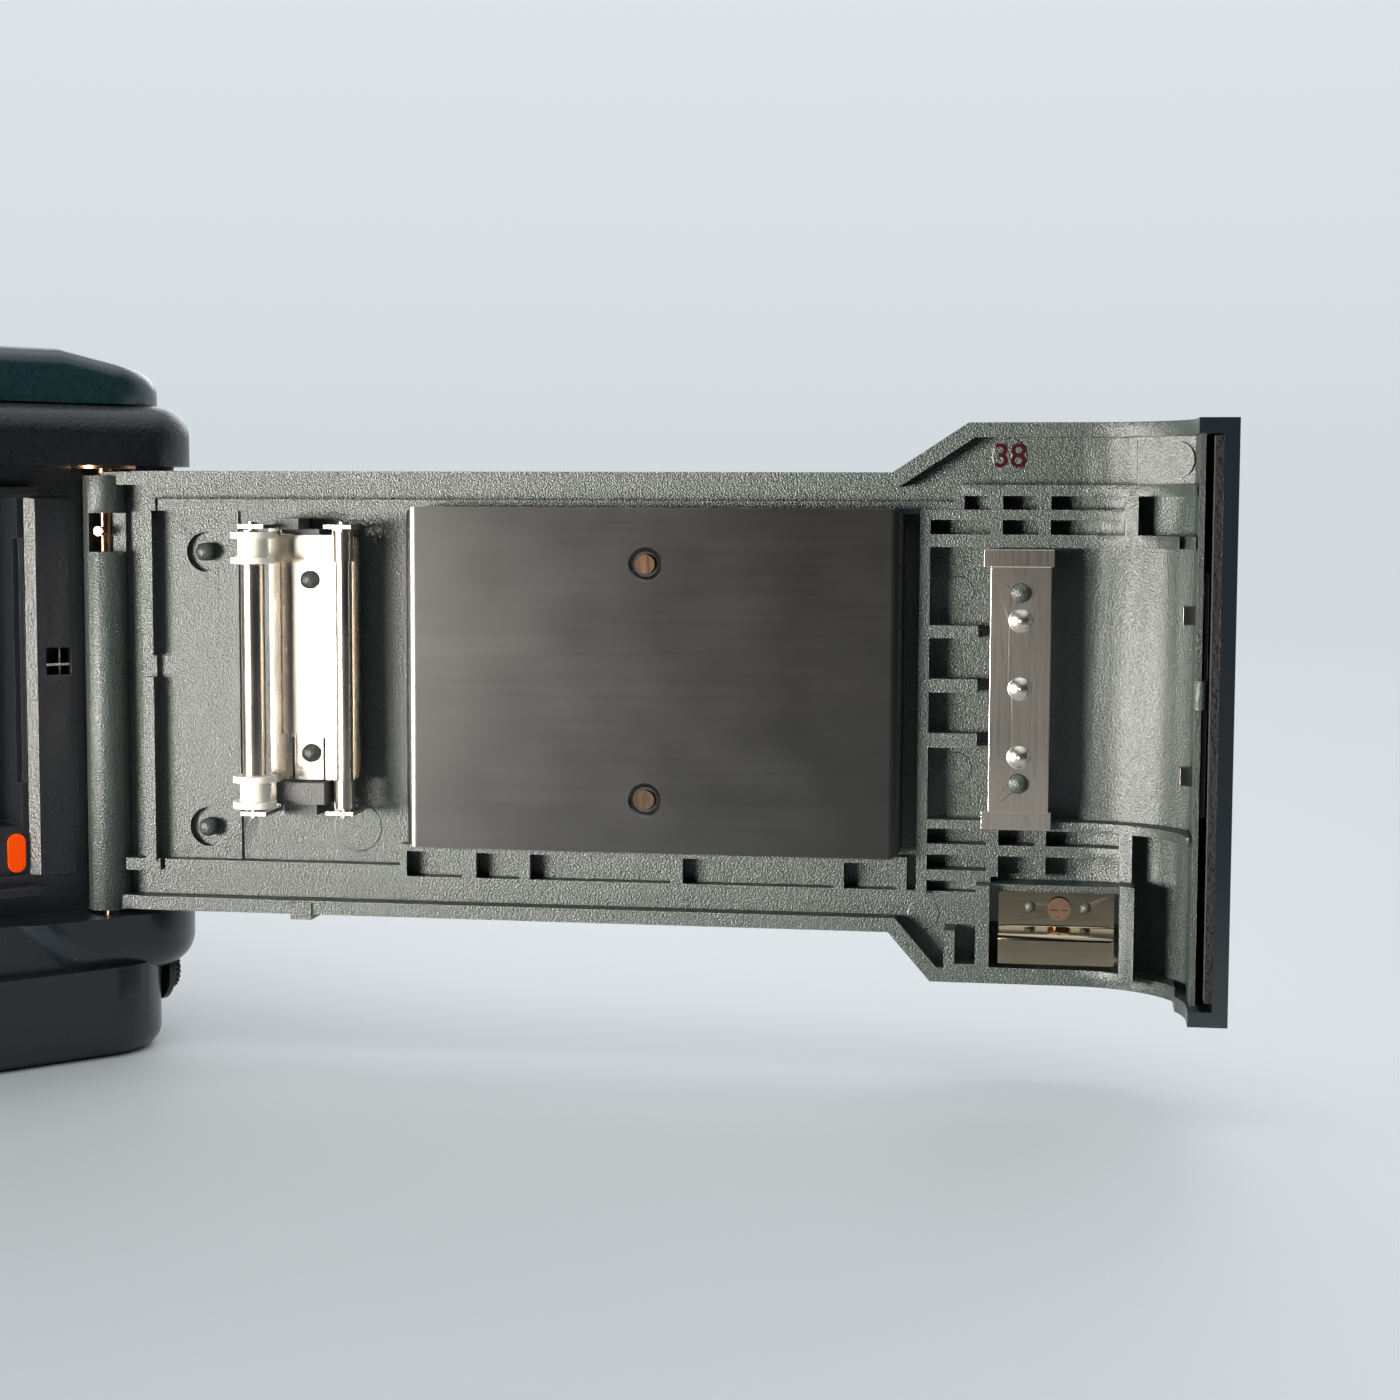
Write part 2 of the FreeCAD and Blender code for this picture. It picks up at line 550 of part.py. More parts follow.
def roller_bracket():
    """Plated steel bracket with four ears that carry the two rollers."""
    (u0, u1), (z0, z1) = BRACKET_U, BRACKET_Z
    plate_x = [(HINGE_X - u1, z0, 1.0), (HINGE_X - u0, z0, 1.0), (HINGE_X - u0, z1, 1.0),
               (HINGE_X - u1, z1, 1.0)]
    pieces = [slab_xz(plate_x, HINGE_Y + BRACKET_D, HINGE_Y + BRACKET_TOP)]
    for low, high in CHEEK_Z:
        arm = (low, z0 + 1.0) if low < z0 else (z1 - 1.0, high)
        for u, d, root0, root1 in ((FILM_ROLLER_U, FILM_ROLLER_D, u0, 21.6),
                                   (GUIDE_ROLLER_U, GUIDE_ROLLER_D, 28.0, 29.6)):
            pieces.append(door_box(root0, root1, BRACKET_D, BRACKET_TOP, *arm))
            pieces.append(door_box(min(root0, u - 1.3), max(root1, u + 1.3), BRACKET_D, d + 1.3, low, high))
    bracket = fused(pieces)
    cuts = [door_post(BRACKET_POST_U, z, STAKE_RADIUS, 0, 5) for z in BRACKET_POST_Z]
    for u, d in ((FILM_ROLLER_U, FILM_ROLLER_D), (GUIDE_ROLLER_U, GUIDE_ROLLER_D)):
        cuts.append(rod(SHAFT_RADIUS + RUNNING_GAP, door_point(u, d, 20), door_point(u, d, 70)))
    # Shallow pressed panel with a tongue between two slits
    pressed = HINGE_Y + BRACKET_TOP - 0.15
    for left, right, low, high, low_corner, high_corner in ((27.9, 21.8, 38.0, 58.2, 0, 0.6),
                                                            (26.6, 23.5, 33.9, 38.1, 0.8, 0)):
        x0, x1 = HINGE_X - left, HINGE_X - right
        cuts.append(slab_xz([(x0, low, low_corner), (x1, low, low_corner), (x1, high, high_corner),
                             (x0, high, high_corner)],
                            pressed, pressed + 1.0))
    for u in (23.2, 26.85):
        cuts.append(door_box(u - 0.13, u + 0.13, 0, 5, z0 - 1.0, 37.6))
    return bracket.cut(cuts)


def bracket_blocks():
    """Moulded blocks that close the bracket's two ends."""
    low = fused([door_box(21.8, 27.5, DOOR_FLOOR_D, 4.2, 30.1, 32.6),
                 door_box(22.2, 26.1, DOOR_FLOOR_D, 2.6, 28.7, 30.2)])
    high = fused([door_box(22.1, 24.8, DOOR_FLOOR_D, 4.4, 61.45, 62.7),
                  door_box(22.1, 26.6, DOOR_FLOOR_D, 2.4, 60.9, 61.5)])
    return Part.makeCompound([low, high])


def film_roller():
    axis = lambda z: door_point(FILM_ROLLER_U, FILM_ROLLER_D, z)
    return fused([rod(FILM_ROLLER_R, axis(29.75), axis(61.3)),
                  rod(SHAFT_RADIUS, axis(SHAFT_Z[0]), axis(SHAFT_Z[1]))])


def roller_rings():
    """White nylon flanged rings pressed on the ends of the film roller."""
    axis = lambda z: door_point(FILM_ROLLER_U, FILM_ROLLER_D, z)
    hub, flange, lip = 1.65, 2.45, 0.7
    bore = FILM_ROLLER_R + INSERT_GAP
    rings = []
    for low, high in ROLLER_RINGS_Z:
        ring = fused([rod(hub, axis(low), axis(high)), rod(flange, axis(low), axis(low + lip)),
                      rod(flange, axis(high - lip), axis(high))])
        rings.append(ring.cut(rod(bore, axis(low - 1), axis(high + 1))))
    return Part.makeCompound(rings)


def guide_roller():
    axis = lambda z: door_point(GUIDE_ROLLER_U, GUIDE_ROLLER_D, z)
    return fused([rod(GUIDE_ROLLER_R, axis(32.9), axis(58.0)), rod(GUIDE_COLLAR_R, axis(29.75), axis(33.0)),
                  rod(GUIDE_COLLAR_R, axis(57.85), axis(61.3)), rod(SHAFT_RADIUS, axis(SHAFT_Z[0]),
                                                                    axis(SHAFT_Z[1]))])


def cartridge_spring():
    """Flat leaf that presses on the film cartridge, with hooked ends and three pressed domes."""
    (u0, u1), (z0, z1) = SPRING_U, SPRING_Z
    thick = 0.35
    leaf = door_box(u0, u1, SPRING_D, SPRING_D + thick, z0, z1)
    hooks = []
    for inner, outer in ((z0, 29.0), (z1, 59.7)):
        low, high = min(inner, outer), max(inner, outer)
        seat = (low, high - 0.4) if outer < inner else (low + 0.4, high)
        riser = (z0 - 0.4, z0 + 0.1) if outer < inner else (z1 - 0.1, z1 + 0.4)
        hooks.append(door_box(u0 - 0.75, u1 + 0.3, 2.9, 2.9 + thick, *seat))
        hooks.append(door_box(u0, u1, 2.9, SPRING_D + thick, *riser))
    mid = (u0 + u1) / 2
    dome_radius, dome_rise = 1.8, 0.5
    slice_above = door_box(u0, u1, SPRING_D + thick / 2, SPRING_D + thick + dome_rise, z0, z1)
    domes = []
    for z in (37.1, 44.6, 52.0):
        centre = door_point(mid, SPRING_D + thick + dome_rise - dome_radius, z)
        domes.append(Part.makeSphere(dome_radius, centre, Y_AXIS).common(slice_above))
    leaf = fused([leaf] + hooks + domes)
    return leaf.cut([door_post(mid, z, STAKE_RADIUS, 0, 6) for z in (34.2, 55.0)])


def cartridge_clip():
    """Bent spring plate under the cartridge, held by one screw."""
    u0, u1 = CLIP_U[0], CLIP_U[1]
    place = lambda d, z: V(HINGE_X - u1, HINGE_Y + d, z)
    outline = [(3.4, 22.3, 0), (4.0, 22.3, 0), (4.0, 18.6, 0.3), (5.4, 17.6, 0.8), (5.4, 14.6, 0),
               (4.8, 14.6, 0), (4.8, 17.3, 0.4), (3.4, 18.3, 0.3)]
    wire = rounded_wire(outline, place)
    clip = Part.Face(wire).extrude(X_AXIS * (u1 - u0))
    holes = [door_post(u, 20.7, 0.6, 0, 6) for u in CLIP_PIN_U] + [door_post(CLIP_SCREW_U, 20.6, 0.7, 0, 6)]
    return clip.cut(holes)


def clip_screw():
    u, z = CLIP_SCREW_U, 20.6
    long, short = 0.95, 0.15
    head = door_post(u, z, 1.25, 4.0, 4.6)
    cross = [door_box(u - long, u + long, 4.35, 5, z - short, z + short),
             door_box(u - short, u + short, 4.35, 5, z - long, z + long)]
    return fused([head, door_post(u, z, 0.6, 3.4, 4.0)]).cut(cross)


def latch_slide():
    """Plate in the hollow end of the door, with two hooks inside and a finger knob outside."""
    plate = door_box(LATCH_U, LATCH_U + 0.5, LATCH_D, LATCH_D + 3.8, 32.0, 57.5)
    hooks = [door_box(END_CAP_U, LATCH_U, LATCH_D, LATCH_D + 1.4, z, z + 2.0) for z in LATCH_HOOK_Z]
    knob = door_box(LATCH_U + 0.5, from_end(0.9), LATCH_D, LATCH_D + 2.8, *LATCH_KNOB_Z)
    return fused([plate, knob] + hooks)


def end_felt():
    return door_box(from_end(2.4), from_end(1.6), 13.4, 15.8, 13.0, 71.7)


# Body pieces


def rear_opening(y0, y1, grow=0.0):
    """Outline of the door's place in the back of the camera, drawn out along Y."""
    left, right = BODY_LEFT - 20.0, CAST_RIGHT + 60.0
    corners = [(right, OPENING_BOTTOM, 0), (right, OPENING_TOP, 0), (FLARE_START_X, OPENING_TOP, 0),
               (FLARE_TOP_X, FLARE_OPENING_TOP, 0), (left, FLARE_OPENING_TOP, 0),
               (left, END_CAP_BOTTOM - DOOR_GAP, 0),
               (END_CAP_X, END_CAP_BOTTOM - DOOR_GAP, 0), (END_CAP_X, FLARE_OPENING_BOTTOM, 0),
               (FLARE_BOTTOM_X, FLARE_OPENING_BOTTOM, 0), (FLARE_START_X, OPENING_BOTTOM, 0)]
    return slab_xz([(x, z, 0) for x, z, _ in corners], y0, y1 + grow)


def body_plan(right, rear, corner, grip_front=GRIP_FRONT_Y, housing=True, inset=0.0):
    """Outline of the camera from above, as (x, y, radius) corners."""
    front = FRONT_Y - inset
    plan = [(right - inset, rear + inset, corner - inset), (right - inset, 22.0, 9.0)]
    plan += [(66.0 - inset, grip_front - inset, 10.0), (47.5 + inset, grip_front - 3.0 - inset, 8.0),
             (GRIP_LEFT + inset, front, 3.0)]
    if housing:
        plan += [(34.0 - inset, front, 3.0), (29.8 - inset, HOUSING_FRONT_Y, 1.5),
                 (-29.8 + inset, HOUSING_FRONT_Y, 1.5), (-34.0 + inset, front, 3.0)]
    plan += [(BODY_LEFT + inset, front, 5.0 - inset), (BODY_LEFT + inset, rear + inset, 15.0)]
    return plan


def barrel_pocket(z0, z1):
    return rod(BARREL_POCKET, door_point(0, 0, z0), door_point(0, 0, z1))


def washer_pocket():
    return rod(3.8, door_point(0, 0, 68.2), door_point(0, 0, FAR))


def spool_opening():
    return [rod(SPOOL_CHAMBER_R, V(SPOOL_X, SPOOL_Y, SPOOL_BOTTOM), V(SPOOL_X, SPOOL_Y, SPOOL_TOP)),
            box(SPOOL_X - 9.3, SPOOL_X + 9.2, -20.0, SPOOL_Y, SPOOL_BOTTOM, SPOOL_TOP)]


def dx_contacts():
    """Sprung pins that touch the cartridge's coding squares."""
    return Part.makeCompound([dx_pin(z, DX_PIN_RADIUS) for z in DX_PINS_Z])


def dx_pin(z, radius):
    wall, y = CARTRIDGE_X - CARTRIDGE_CHAMBER_R, CARTRIDGE_Y + 3.0
    return rod(radius, V(wall - 1.2, y, z), V(wall + 0.9, y, z))


def body_casting():
    # The middle fits between the door's rims; the rest stays clear of them round the curved end
    curve_x, curve_y = HINGE_X - DOOR_LENGTH + DOOR_END_RADIUS, HINGE_Y + DOOR_OUTER_D + DOOR_END_RADIUS
    rim_radius = DOOR_END_RADIUS - DOOR_SKIN - RIM_HEIGHT - 0.4
    skin_radius = DOOR_END_RADIUS - DOOR_SKIN - 0.4
    full = rear_opening(CAST_REAR_Y, CAST_SPLIT_Y)
    between_rims = full.common(box(CAST_LEFT, CAST_RIGHT, -FAR, FAR, FLARE_BOTTOM + RIM_WALL + TOUCH_GAP,
                                   FLARE_TOP - RIM_WALL - TOUCH_GAP))
    corner = box(CAST_LEFT - 1, curve_x, CAST_REAR_Y - 1, curve_y, 0, FAR)
    between_rims = between_rims.cut(corner.cut(rod(skin_radius, V(curve_x, curve_y, 0),
                                                   V(curve_x, curve_y, FAR))))
    inside_rims = full.common(slab_xy([(curve_x - rim_radius, CAST_REAR_Y, rim_radius),
                                       (CAST_RIGHT, CAST_REAR_Y, 0),
                                       (CAST_RIGHT, CAST_SPLIT_Y, 0),
                                       (curve_x - rim_radius, CAST_SPLIT_Y, 0)], 0, FAR))
    rear = fused([between_rims, inside_rims])
    front = box(CAST_LEFT, 57.4, CAST_SPLIT_Y, CAST_FRONT_Y, DECK_Z, OPENING_TOP)
    mirror_box = box(-27.0, 27.0, CAST_FRONT_Y, HOUSING_FRONT_Y - 0.3, 22.0, OPENING_TOP)
    # Raised panel beside the hinge, with a nick at its lower corner
    panel_low, panel_high = 21.2, 64.8
    panel = slab_xz([(EDGE_WALL_X - EDGE_BEVEL, panel_low, 0), (EDGE_PANEL_RIGHT - 0.5, panel_low, 0),
                     (EDGE_PANEL_RIGHT - 0.5, panel_low + 2.8, 0), (EDGE_PANEL_RIGHT, panel_low + 3.8, 0),
                     (EDGE_PANEL_RIGHT, panel_high, 0),
                     (EDGE_WALL_X - EDGE_BEVEL, panel_high, 0)], EDGE_PANEL_Y, CAST_REAR_Y)
    casting = fused([rear, front, mirror_box, panel])

    chamber_axis = lambda z: V(CARTRIDGE_X, CARTRIDGE_Y, z)
    cuts = [rod(CARTRIDGE_CHAMBER_R, chamber_axis(CARTRIDGE_BOTTOM), chamber_axis(OPENING_TOP - 1.5)),
            rod(CARTRIDGE_CHAMBER_R, chamber_axis(CARTRIDGE_BOTTOM), chamber_axis(CARTRIDGE_TOP)).common(
                box(-FAR, FAR, -FAR, CARTRIDGE_Y, 0, FAR)),
            box(CARTRIDGE_X - CARTRIDGE_CHAMBER_R + 0.2, CARTRIDGE_X + CARTRIDGE_CHAMBER_R - 0.6, -20.0,
                CARTRIDGE_Y,
                CARTRIDGE_BOTTOM, CARTRIDGE_TOP),
            box(CAST_LEFT - 1, CARTRIDGE_X - 10.0, -20.0, -3.0, 22.6, 30.2),
            box(CAST_LEFT - 1, CARTRIDGE_X - 10.0, -20.0, -3.0, 59.5, 67.1),
            box(CAST_LEFT - 1, HINGE_X - FACET_U[0] + 0.4, -20.0, -7.0, 66.3, FLARE_TOP - 0.6),
            box(CARTRIDGE_X - 10.0, CARTRIDGE_X + 11.7, -20.0, -9.2, 0, CARTRIDGE_BOTTOM + 0.1),
            rod(3.0 + RUNNING_GAP, chamber_axis(0), chamber_axis(20)),
            box(-33.0, 37.5, -20.0, GATE_WALL_Y, 21.2, 64.9),
            slab_xy([(37.0, -20.0, 0), (EDGE_WALL_X, -20.0, 0), (EDGE_WALL_X, EDGE_PANEL_Y, 0),
                     (EDGE_WALL_X - EDGE_BEVEL, MARK_FACE_Y, 0),
                     (37.0, MARK_FACE_Y, 0)], 21.2, panel_high + 0.1),
            slab_xz([(50.0, 31.9, 0), (SIDE_POCKET_X - 0.1, 31.9, 0), (SIDE_POCKET_X, 34.0, 0),
                     (SIDE_POCKET_X, 58.9, 0),
                     (SIDE_POCKET_X - 0.1, 60.3, 0), (50.0, 60.3, 0)], -20.0, SIDE_POCKET_Y),
            rod(SPROCKET_POCKET_R, V(SPROCKET_X, SPROCKET_Y, 23.0), V(SPROCKET_X, SPROCKET_Y, SPOOL_TOP)),
            rod(1.5 + RUNNING_GAP, V(SPROCKET_X, SPROCKET_Y, SPINDLE_BOTTOM),
                V(SPROCKET_X, SPROCKET_Y, SPINDLE_TOP)),
            rod(2.0 + RUNNING_GAP, V(SPOOL_X, SPOOL_Y, SPINDLE_BOTTOM), V(SPOOL_X, SPOOL_Y, SPINDLE_TOP))]
    cuts += spool_opening()
    # Film gate, shutter pocket and mirror box
    gate_z = (LENS_AXIS_Z - GATE_HEIGHT / 2, LENS_AXIS_Z + GATE_HEIGHT / 2)
    cuts += [box(-GATE_WIDTH / 2, GATE_WIDTH / 2, -20.0, 0.0, *gate_z),
             box(-BLADE_HALF - 0.4, BLADE_HALF + 0.4, GATE_WALL_Y + GATE_WALL, -4.6, 22.6, 67.0),
             box(-20.0, 20.0, -3.2, 40.0, 26.0, 61.6),
             box(-17.5, 17.5, -3.0, 21.5, 60.0, FAR)]
    # Contact hole and the light trap's places at the hinge
    cuts += [box(58.4, 61.4, -20.0, -11.5, 44.4, 47.6), barrel_pocket(0, FAR),
             washer_pocket()]
    # Latch catches: each hook enters from behind and locks under the upper part
    for z in LATCH_HOOK_Z:
        cuts.append(box(CAST_LEFT - 1, CAST_LEFT + 1.3, -20.0, -6.8, z - 0.3, z + 2.3))
        cuts.append(box(CAST_LEFT - 1, CAST_LEFT + 1.3, -9.1, -6.8, z - 0.3, z + 2.3 + LATCH_TRAVEL))
    cuts += [dx_pin(z, DX_PIN_RADIUS + INSERT_GAP) for z in DX_PINS_Z]
    casting = casting.cut(cuts)
    ribs = [box(-26.0, EDGE_WALL_X, TRAP_RIB_Y, CAST_REAR_Y, low, high)
            for low, high in ((65.2, 66.1), (19.0, 20.0))]
    return fused([casting] + ribs)


def film_rails():
    """Polished rails: two inner ones that the film slides on and two outer ones that guide its edges."""
    bars = []
    for offset, height, face in ((13.4, 1.1, FILM_PLANE_Y + 0.15), (17.6, 1.2, FILM_PLANE_Y - 0.05)):
        for side in (-1, 1):
            z = LENS_AXIS_Z + side * (offset + height / 2)
            bars.append(box(-25.5, 25.5, face, GATE_WALL_Y, z - height / 2, z + height / 2))
    return Part.makeCompound(bars)


def film_index_mark():
    """Mark that the end of the film is drawn out to."""
    x, z, half, reach = 54.92, 23.8, 1.05, 1.2
    mark = [(x - half, z - half - reach, half * 0.98), (x + half, z - half - reach, half * 0.98),
            (x + half, z + half + reach, half * 0.98), (x - half, z + half + reach, half * 0.98)]
    return slab_xz(mark, MARK_FACE_Y - 0.2, MARK_FACE_Y)


def back_contact():
    """Two crossed wires in the small hole beside the hinge."""
    wires = [rod(0.16, V(60.4, -14.5, 44.4), V(60.4, -14.5, 47.6)),
             rod(0.18, V(58.4, -15.1, 45.6), V(61.4, -15.1, 45.6))]
    return Part.makeCompound(wires)


def front_cover():
    """Front and side shell of the middle of the body."""
    outer = body_plan(SIDE_RIGHT, HINGE_Y + 3.2, 4.0)
    whole = slab_xy(outer, DECK_Z, OPENING_TOP)
    grip_block = box(GRIP_LEFT - 5.0, FAR, FRONT_Y, FAR, 0, FAR)
    rear_left = box(-FAR, CAST_RIGHT, -FAR, CAST_SPLIT_Y + TOUCH_GAP, 0, FAR)
    cavities = [box(BODY_LEFT + COVER_WALL, 57.6, -FAR, CAST_FRONT_Y, 0, FAR),
                box(57.0, SIDE_RIGHT - COVER_WALL, HINGE_Y + 5.4, FRONT_Y + 1, 0, OPENING_TOP - COVER_WALL),
                box(-27.3, 27.3, 0.0, HOUSING_FRONT_Y - 0.3, 21.7, FAR)]
    cover = whole.cut([grip_block, rear_left] + cavities)
    below = box(CAST_RIGHT, FAR, -FAR, CAST_SPLIT_Y, 0, OPENING_BOTTOM)
    cover = cover.cut([below, barrel_pocket(0, FAR), washer_pocket(),
                       rod(MIRROR_HALF + 7.0, V(0, 20, LENS_AXIS_Z), V(0, 40, LENS_AXIS_Z))])
    release_boss = rod(7.0, V(-41.0, FRONT_Y - 2.0, 40.0), V(-41.0, FRONT_Y + 4.5, 40.0))
    release_hole = rod(5.2, V(-41.0, FRONT_Y - 1.0, 40.0), V(-41.0, FRONT_Y + 10.0, 40.0))
    cover = fused([cover, release_boss]).cut(release_hole)
    return cover


def grip_shell():
    """Rubber covered hand grip, hollow for the battery."""
    whole = slab_xy(body_plan(SIDE_RIGHT, REAR_Y, 8.0, housing=False), DECK_Z, OPENING_TOP)
    whole = whole.common(box(GRIP_LEFT - 1.0, FAR, FRONT_Y, FAR, 0, FAR))
    cavity = slab_xy([(57.0, FRONT_Y - 1, 0), (SIDE_RIGHT - 1.6, FRONT_Y - 1, 0),
                      (SIDE_RIGHT - 1.6, 24.0, 7.0),
                      (66.0, GRIP_FRONT_Y - 2.0, 8.0), (57.0, GRIP_FRONT_Y - 2.0, 3.0)], 0, FAR)
    groove = slab_xy([(GRIP_LEFT, 17.5, 1.2), (GRIP_LEFT - 9, 17.5, 0), (GRIP_LEFT - 9, 29.0, 0),
                      (GRIP_LEFT, 29.0, 1.2)],
                     DECK_Z - 1, OPENING_TOP + 1)
    return whole.cut([cavity, groove])


def battery():
    """Lithium pack of two cells side by side, standing in the grip."""
    radius = 7.4
    x, y0, y1 = 65.1, 7.0, 21.6
    pack = slab_xy([(x - radius, y0 - radius, radius * 0.98), (x + radius, y0 - radius, radius * 0.98),
                    (x + radius, y1 + radius, radius * 0.98),
                    (x - radius, y1 + radius, radius * 0.98)], DECK_Z + 0.3, 56.0)
    contacts = [rod(2.5, V(x, y, 56.0), V(x, y, 56.8)) for y in (y0, y1)]
    return fused([pack] + contacts)


def shoulder_edge(edge):
    """True for the lower edges that run along the rear and right of the shoulder."""
    bounds = edge.BoundBox
    upright = bounds.XLength < 0.01 and bounds.YLength < 0.01
    reaches_front = bounds.YMax > CAST_SPLIT_Y - 0.5 and bounds.XMax < FOOT_RIGHT
    at_front = bounds.YMin > CAST_SPLIT_Y - 0.5 or reaches_front
    return bounds.ZMin < SHOULDER_TOP - 0.1 and not upright and not at_front


def hinge_shoulder():
    """Rounded shoulder that carries the hinge, with a pocket for the screw under it."""
    low, high, front = DECK_Z - 1.4, SHOULDER_TOP, CAST_SPLIT_Y - 0.4
    plan = slab_xy(body_plan(SHOULDER_RIGHT - 0.4, FOOT_REAR_Y + 0.5, 9.0, housing=False), low, high)
    profile = [(40.0, 25.4, 0), (51.0, 16.4, 6), (58.2, low, 6), (78.0, low, 0), (78.0, 25.4, 0)]
    shoulder = plan.common(slab_xz(profile, -FAR, FAR)).common(box(-FAR, FAR, -FAR, front, 0, FAR))
    shoulder = softened(shoulder, BELT_ROUND, shoulder_edge)
    screw_pocket = rod(GRIP_SCREW_COLLAR_R + TOUCH_GAP, V(GRIP_SCREW_X, GRIP_SCREW_Y, GRIP_SCREW_Z),
                       V(GRIP_SCREW_X + 2.6, GRIP_SCREW_Y, GRIP_SCREW_Z))
    return shoulder.cut(screw_pocket).common(box(-FAR, FAR, -FAR, FAR, 0, OPENING_BOTTOM))


def base_cover():
    """Base with the foot, the rounded shoulder under the hinge and the tripod boss."""
    foot = slab_xy(body_plan(FOOT_RIGHT, FOOT_REAR_Y, 9.0, housing=False), 0.0, DECK_Z)
    foot = softened(foot, 2.4, at_height(0.0))
    deck_rear = slab_xy(body_plan(FOOT_RIGHT, REAR_Y, 8.0, housing=False), 8.0, OPENING_BOTTOM)
    deck_rear = deck_rear.common(box(-FAR, FAR, -FAR, CAST_SPLIT_Y, 0, FAR)).cut(rear_opening(-FAR, 0.0))
    base = fused([foot, deck_rear, hinge_shoulder()])
    base = base.cut(rear_opening(-FAR, CAST_SPLIT_Y + TOUCH_GAP))
    lug_notch = door_box(23.4, 27.0, DOOR_OUTER_D - 5.0, 1.0, 15.6, DOOR_BOTTOM)
    cavities = [box(-52.0, -9.0, 1.0, 10.0, COVER_WALL, FAR), box(9.0, 52.0, 1.0, 10.0, COVER_WALL, FAR),
                box(-24.0, 42.0, -17.5, -9.0, COVER_WALL, FAR)]
    socket = rod(SOCKET_OUTER + INSERT_GAP, V(0, 0, 0), V(0, 0, SOCKET_HEIGHT))
    screw_hole = rod(1.5 + RUNNING_GAP, V(GRIP_SCREW_X - 10.0, GRIP_SCREW_Y, GRIP_SCREW_Z),
                     V(FAR, GRIP_SCREW_Y, GRIP_SCREW_Z))
    pin_hole = rod(PIN_RADIUS + INSERT_GAP, door_point(0, 0, 11.5), door_point(0, 0, FAR))
    fork_hole = rod(3.4, V(CARTRIDGE_X, CARTRIDGE_Y, 8.0), V(CARTRIDGE_X, CARTRIDGE_Y, FAR))
    base = base.cut(cavities + [lug_notch, socket, screw_hole, pin_hole, fork_hole])
    return base


def grip_screw():
    """Knurled screw in the right side of the foot."""
    at = lambda x: V(x, GRIP_SCREW_Y, GRIP_SCREW_Z)
    collar = rod(GRIP_SCREW_COLLAR_R, at(GRIP_SCREW_X + 0.2), at(GRIP_SCREW_X + 0.9))
    head = toothed_disc(at(GRIP_SCREW_X + 0.9), X_AXIS, 2.6, 1.3, 0.25, 24)
    return fused([collar, head, rod(1.5, at(GRIP_SCREW_X - 9.0), at(GRIP_SCREW_X + 0.2))])


def tripod_socket():
    insert = rod(SOCKET_OUTER, V(0, 0, 0), V(0, 0, SOCKET_HEIGHT))
    return insert.cut(rod(SOCKET_BORE, V(0, 0, 0), V(0, 0, SOCKET_DEPTH)))


def upper_cover():
    """Belt between the casting and the top cover, which holds the upper hinge pin."""
    whole = slab_xy(body_plan(SHOULDER_RIGHT, REAR_Y, 8.0), OPENING_TOP, SEAM_Z)
    whole = softened(whole, BELT_ROUND, at_height(SEAM_Z))
    inner = slab_xy(body_plan(SHOULDER_RIGHT, REAR_Y, 8.0, inset=BELT_WALL), OPENING_TOP - 1, SEAM_Z + 1)
    belt = whole.cut(inner)
    pad = rod(4.2, door_point(0, 0, OPENING_TOP), door_point(0, 0, 72.4)).common(whole)
    front = box(-33.0, 33.0, 20.0, HOUSING_FRONT_Y, OPENING_TOP, SEAM_Z).common(inner)
    rear_cut = rear_opening(-FAR, CAST_SPLIT_Y + TOUCH_GAP)
    throat = rod(THROAT_RADIUS, V(0, 0, LENS_AXIS_Z), V(0, 40, LENS_AXIS_Z))
    belt = fused([belt, pad, front]).cut([rear_cut, throat,
                                          rod(PIN_BORE, door_point(0, 0, 0), door_point(0, 0, 71.0)),
                                          box(-17.5, 17.5, -10.0, 21.5, 0, FAR)])
    return belt


def hump_shape(inset):
    """Prism housing: the overlap of a profile from behind and a profile from the side."""
    top = HUMP_Z - inset
    behind = slab_xz([(-25.0 + inset, 70.0, 0), (-25.0 + inset, 83.0, 3), (-15.5 + inset, top, 5),
                      (15.5 - inset, top, 5),
                      (25.0 - inset, 83.0, 3), (25.0 - inset, 70.0, 0)], -40.0, 60.0)
    side = slab_yz([(TOP_COVER_REAR_Y + inset, 70.0, 0), (TOP_COVER_REAR_Y + inset, 90.0, 4),
                    (-13.0 + inset, top, 4),
                    (15.0 - inset, top, 6), (29.5 - inset, 86.0, 6), (31.0 - inset, 78.5, 3),
                    (29.0 - inset, 70.0, 0)], -40.0, 40.0)
    return behind.common(side)


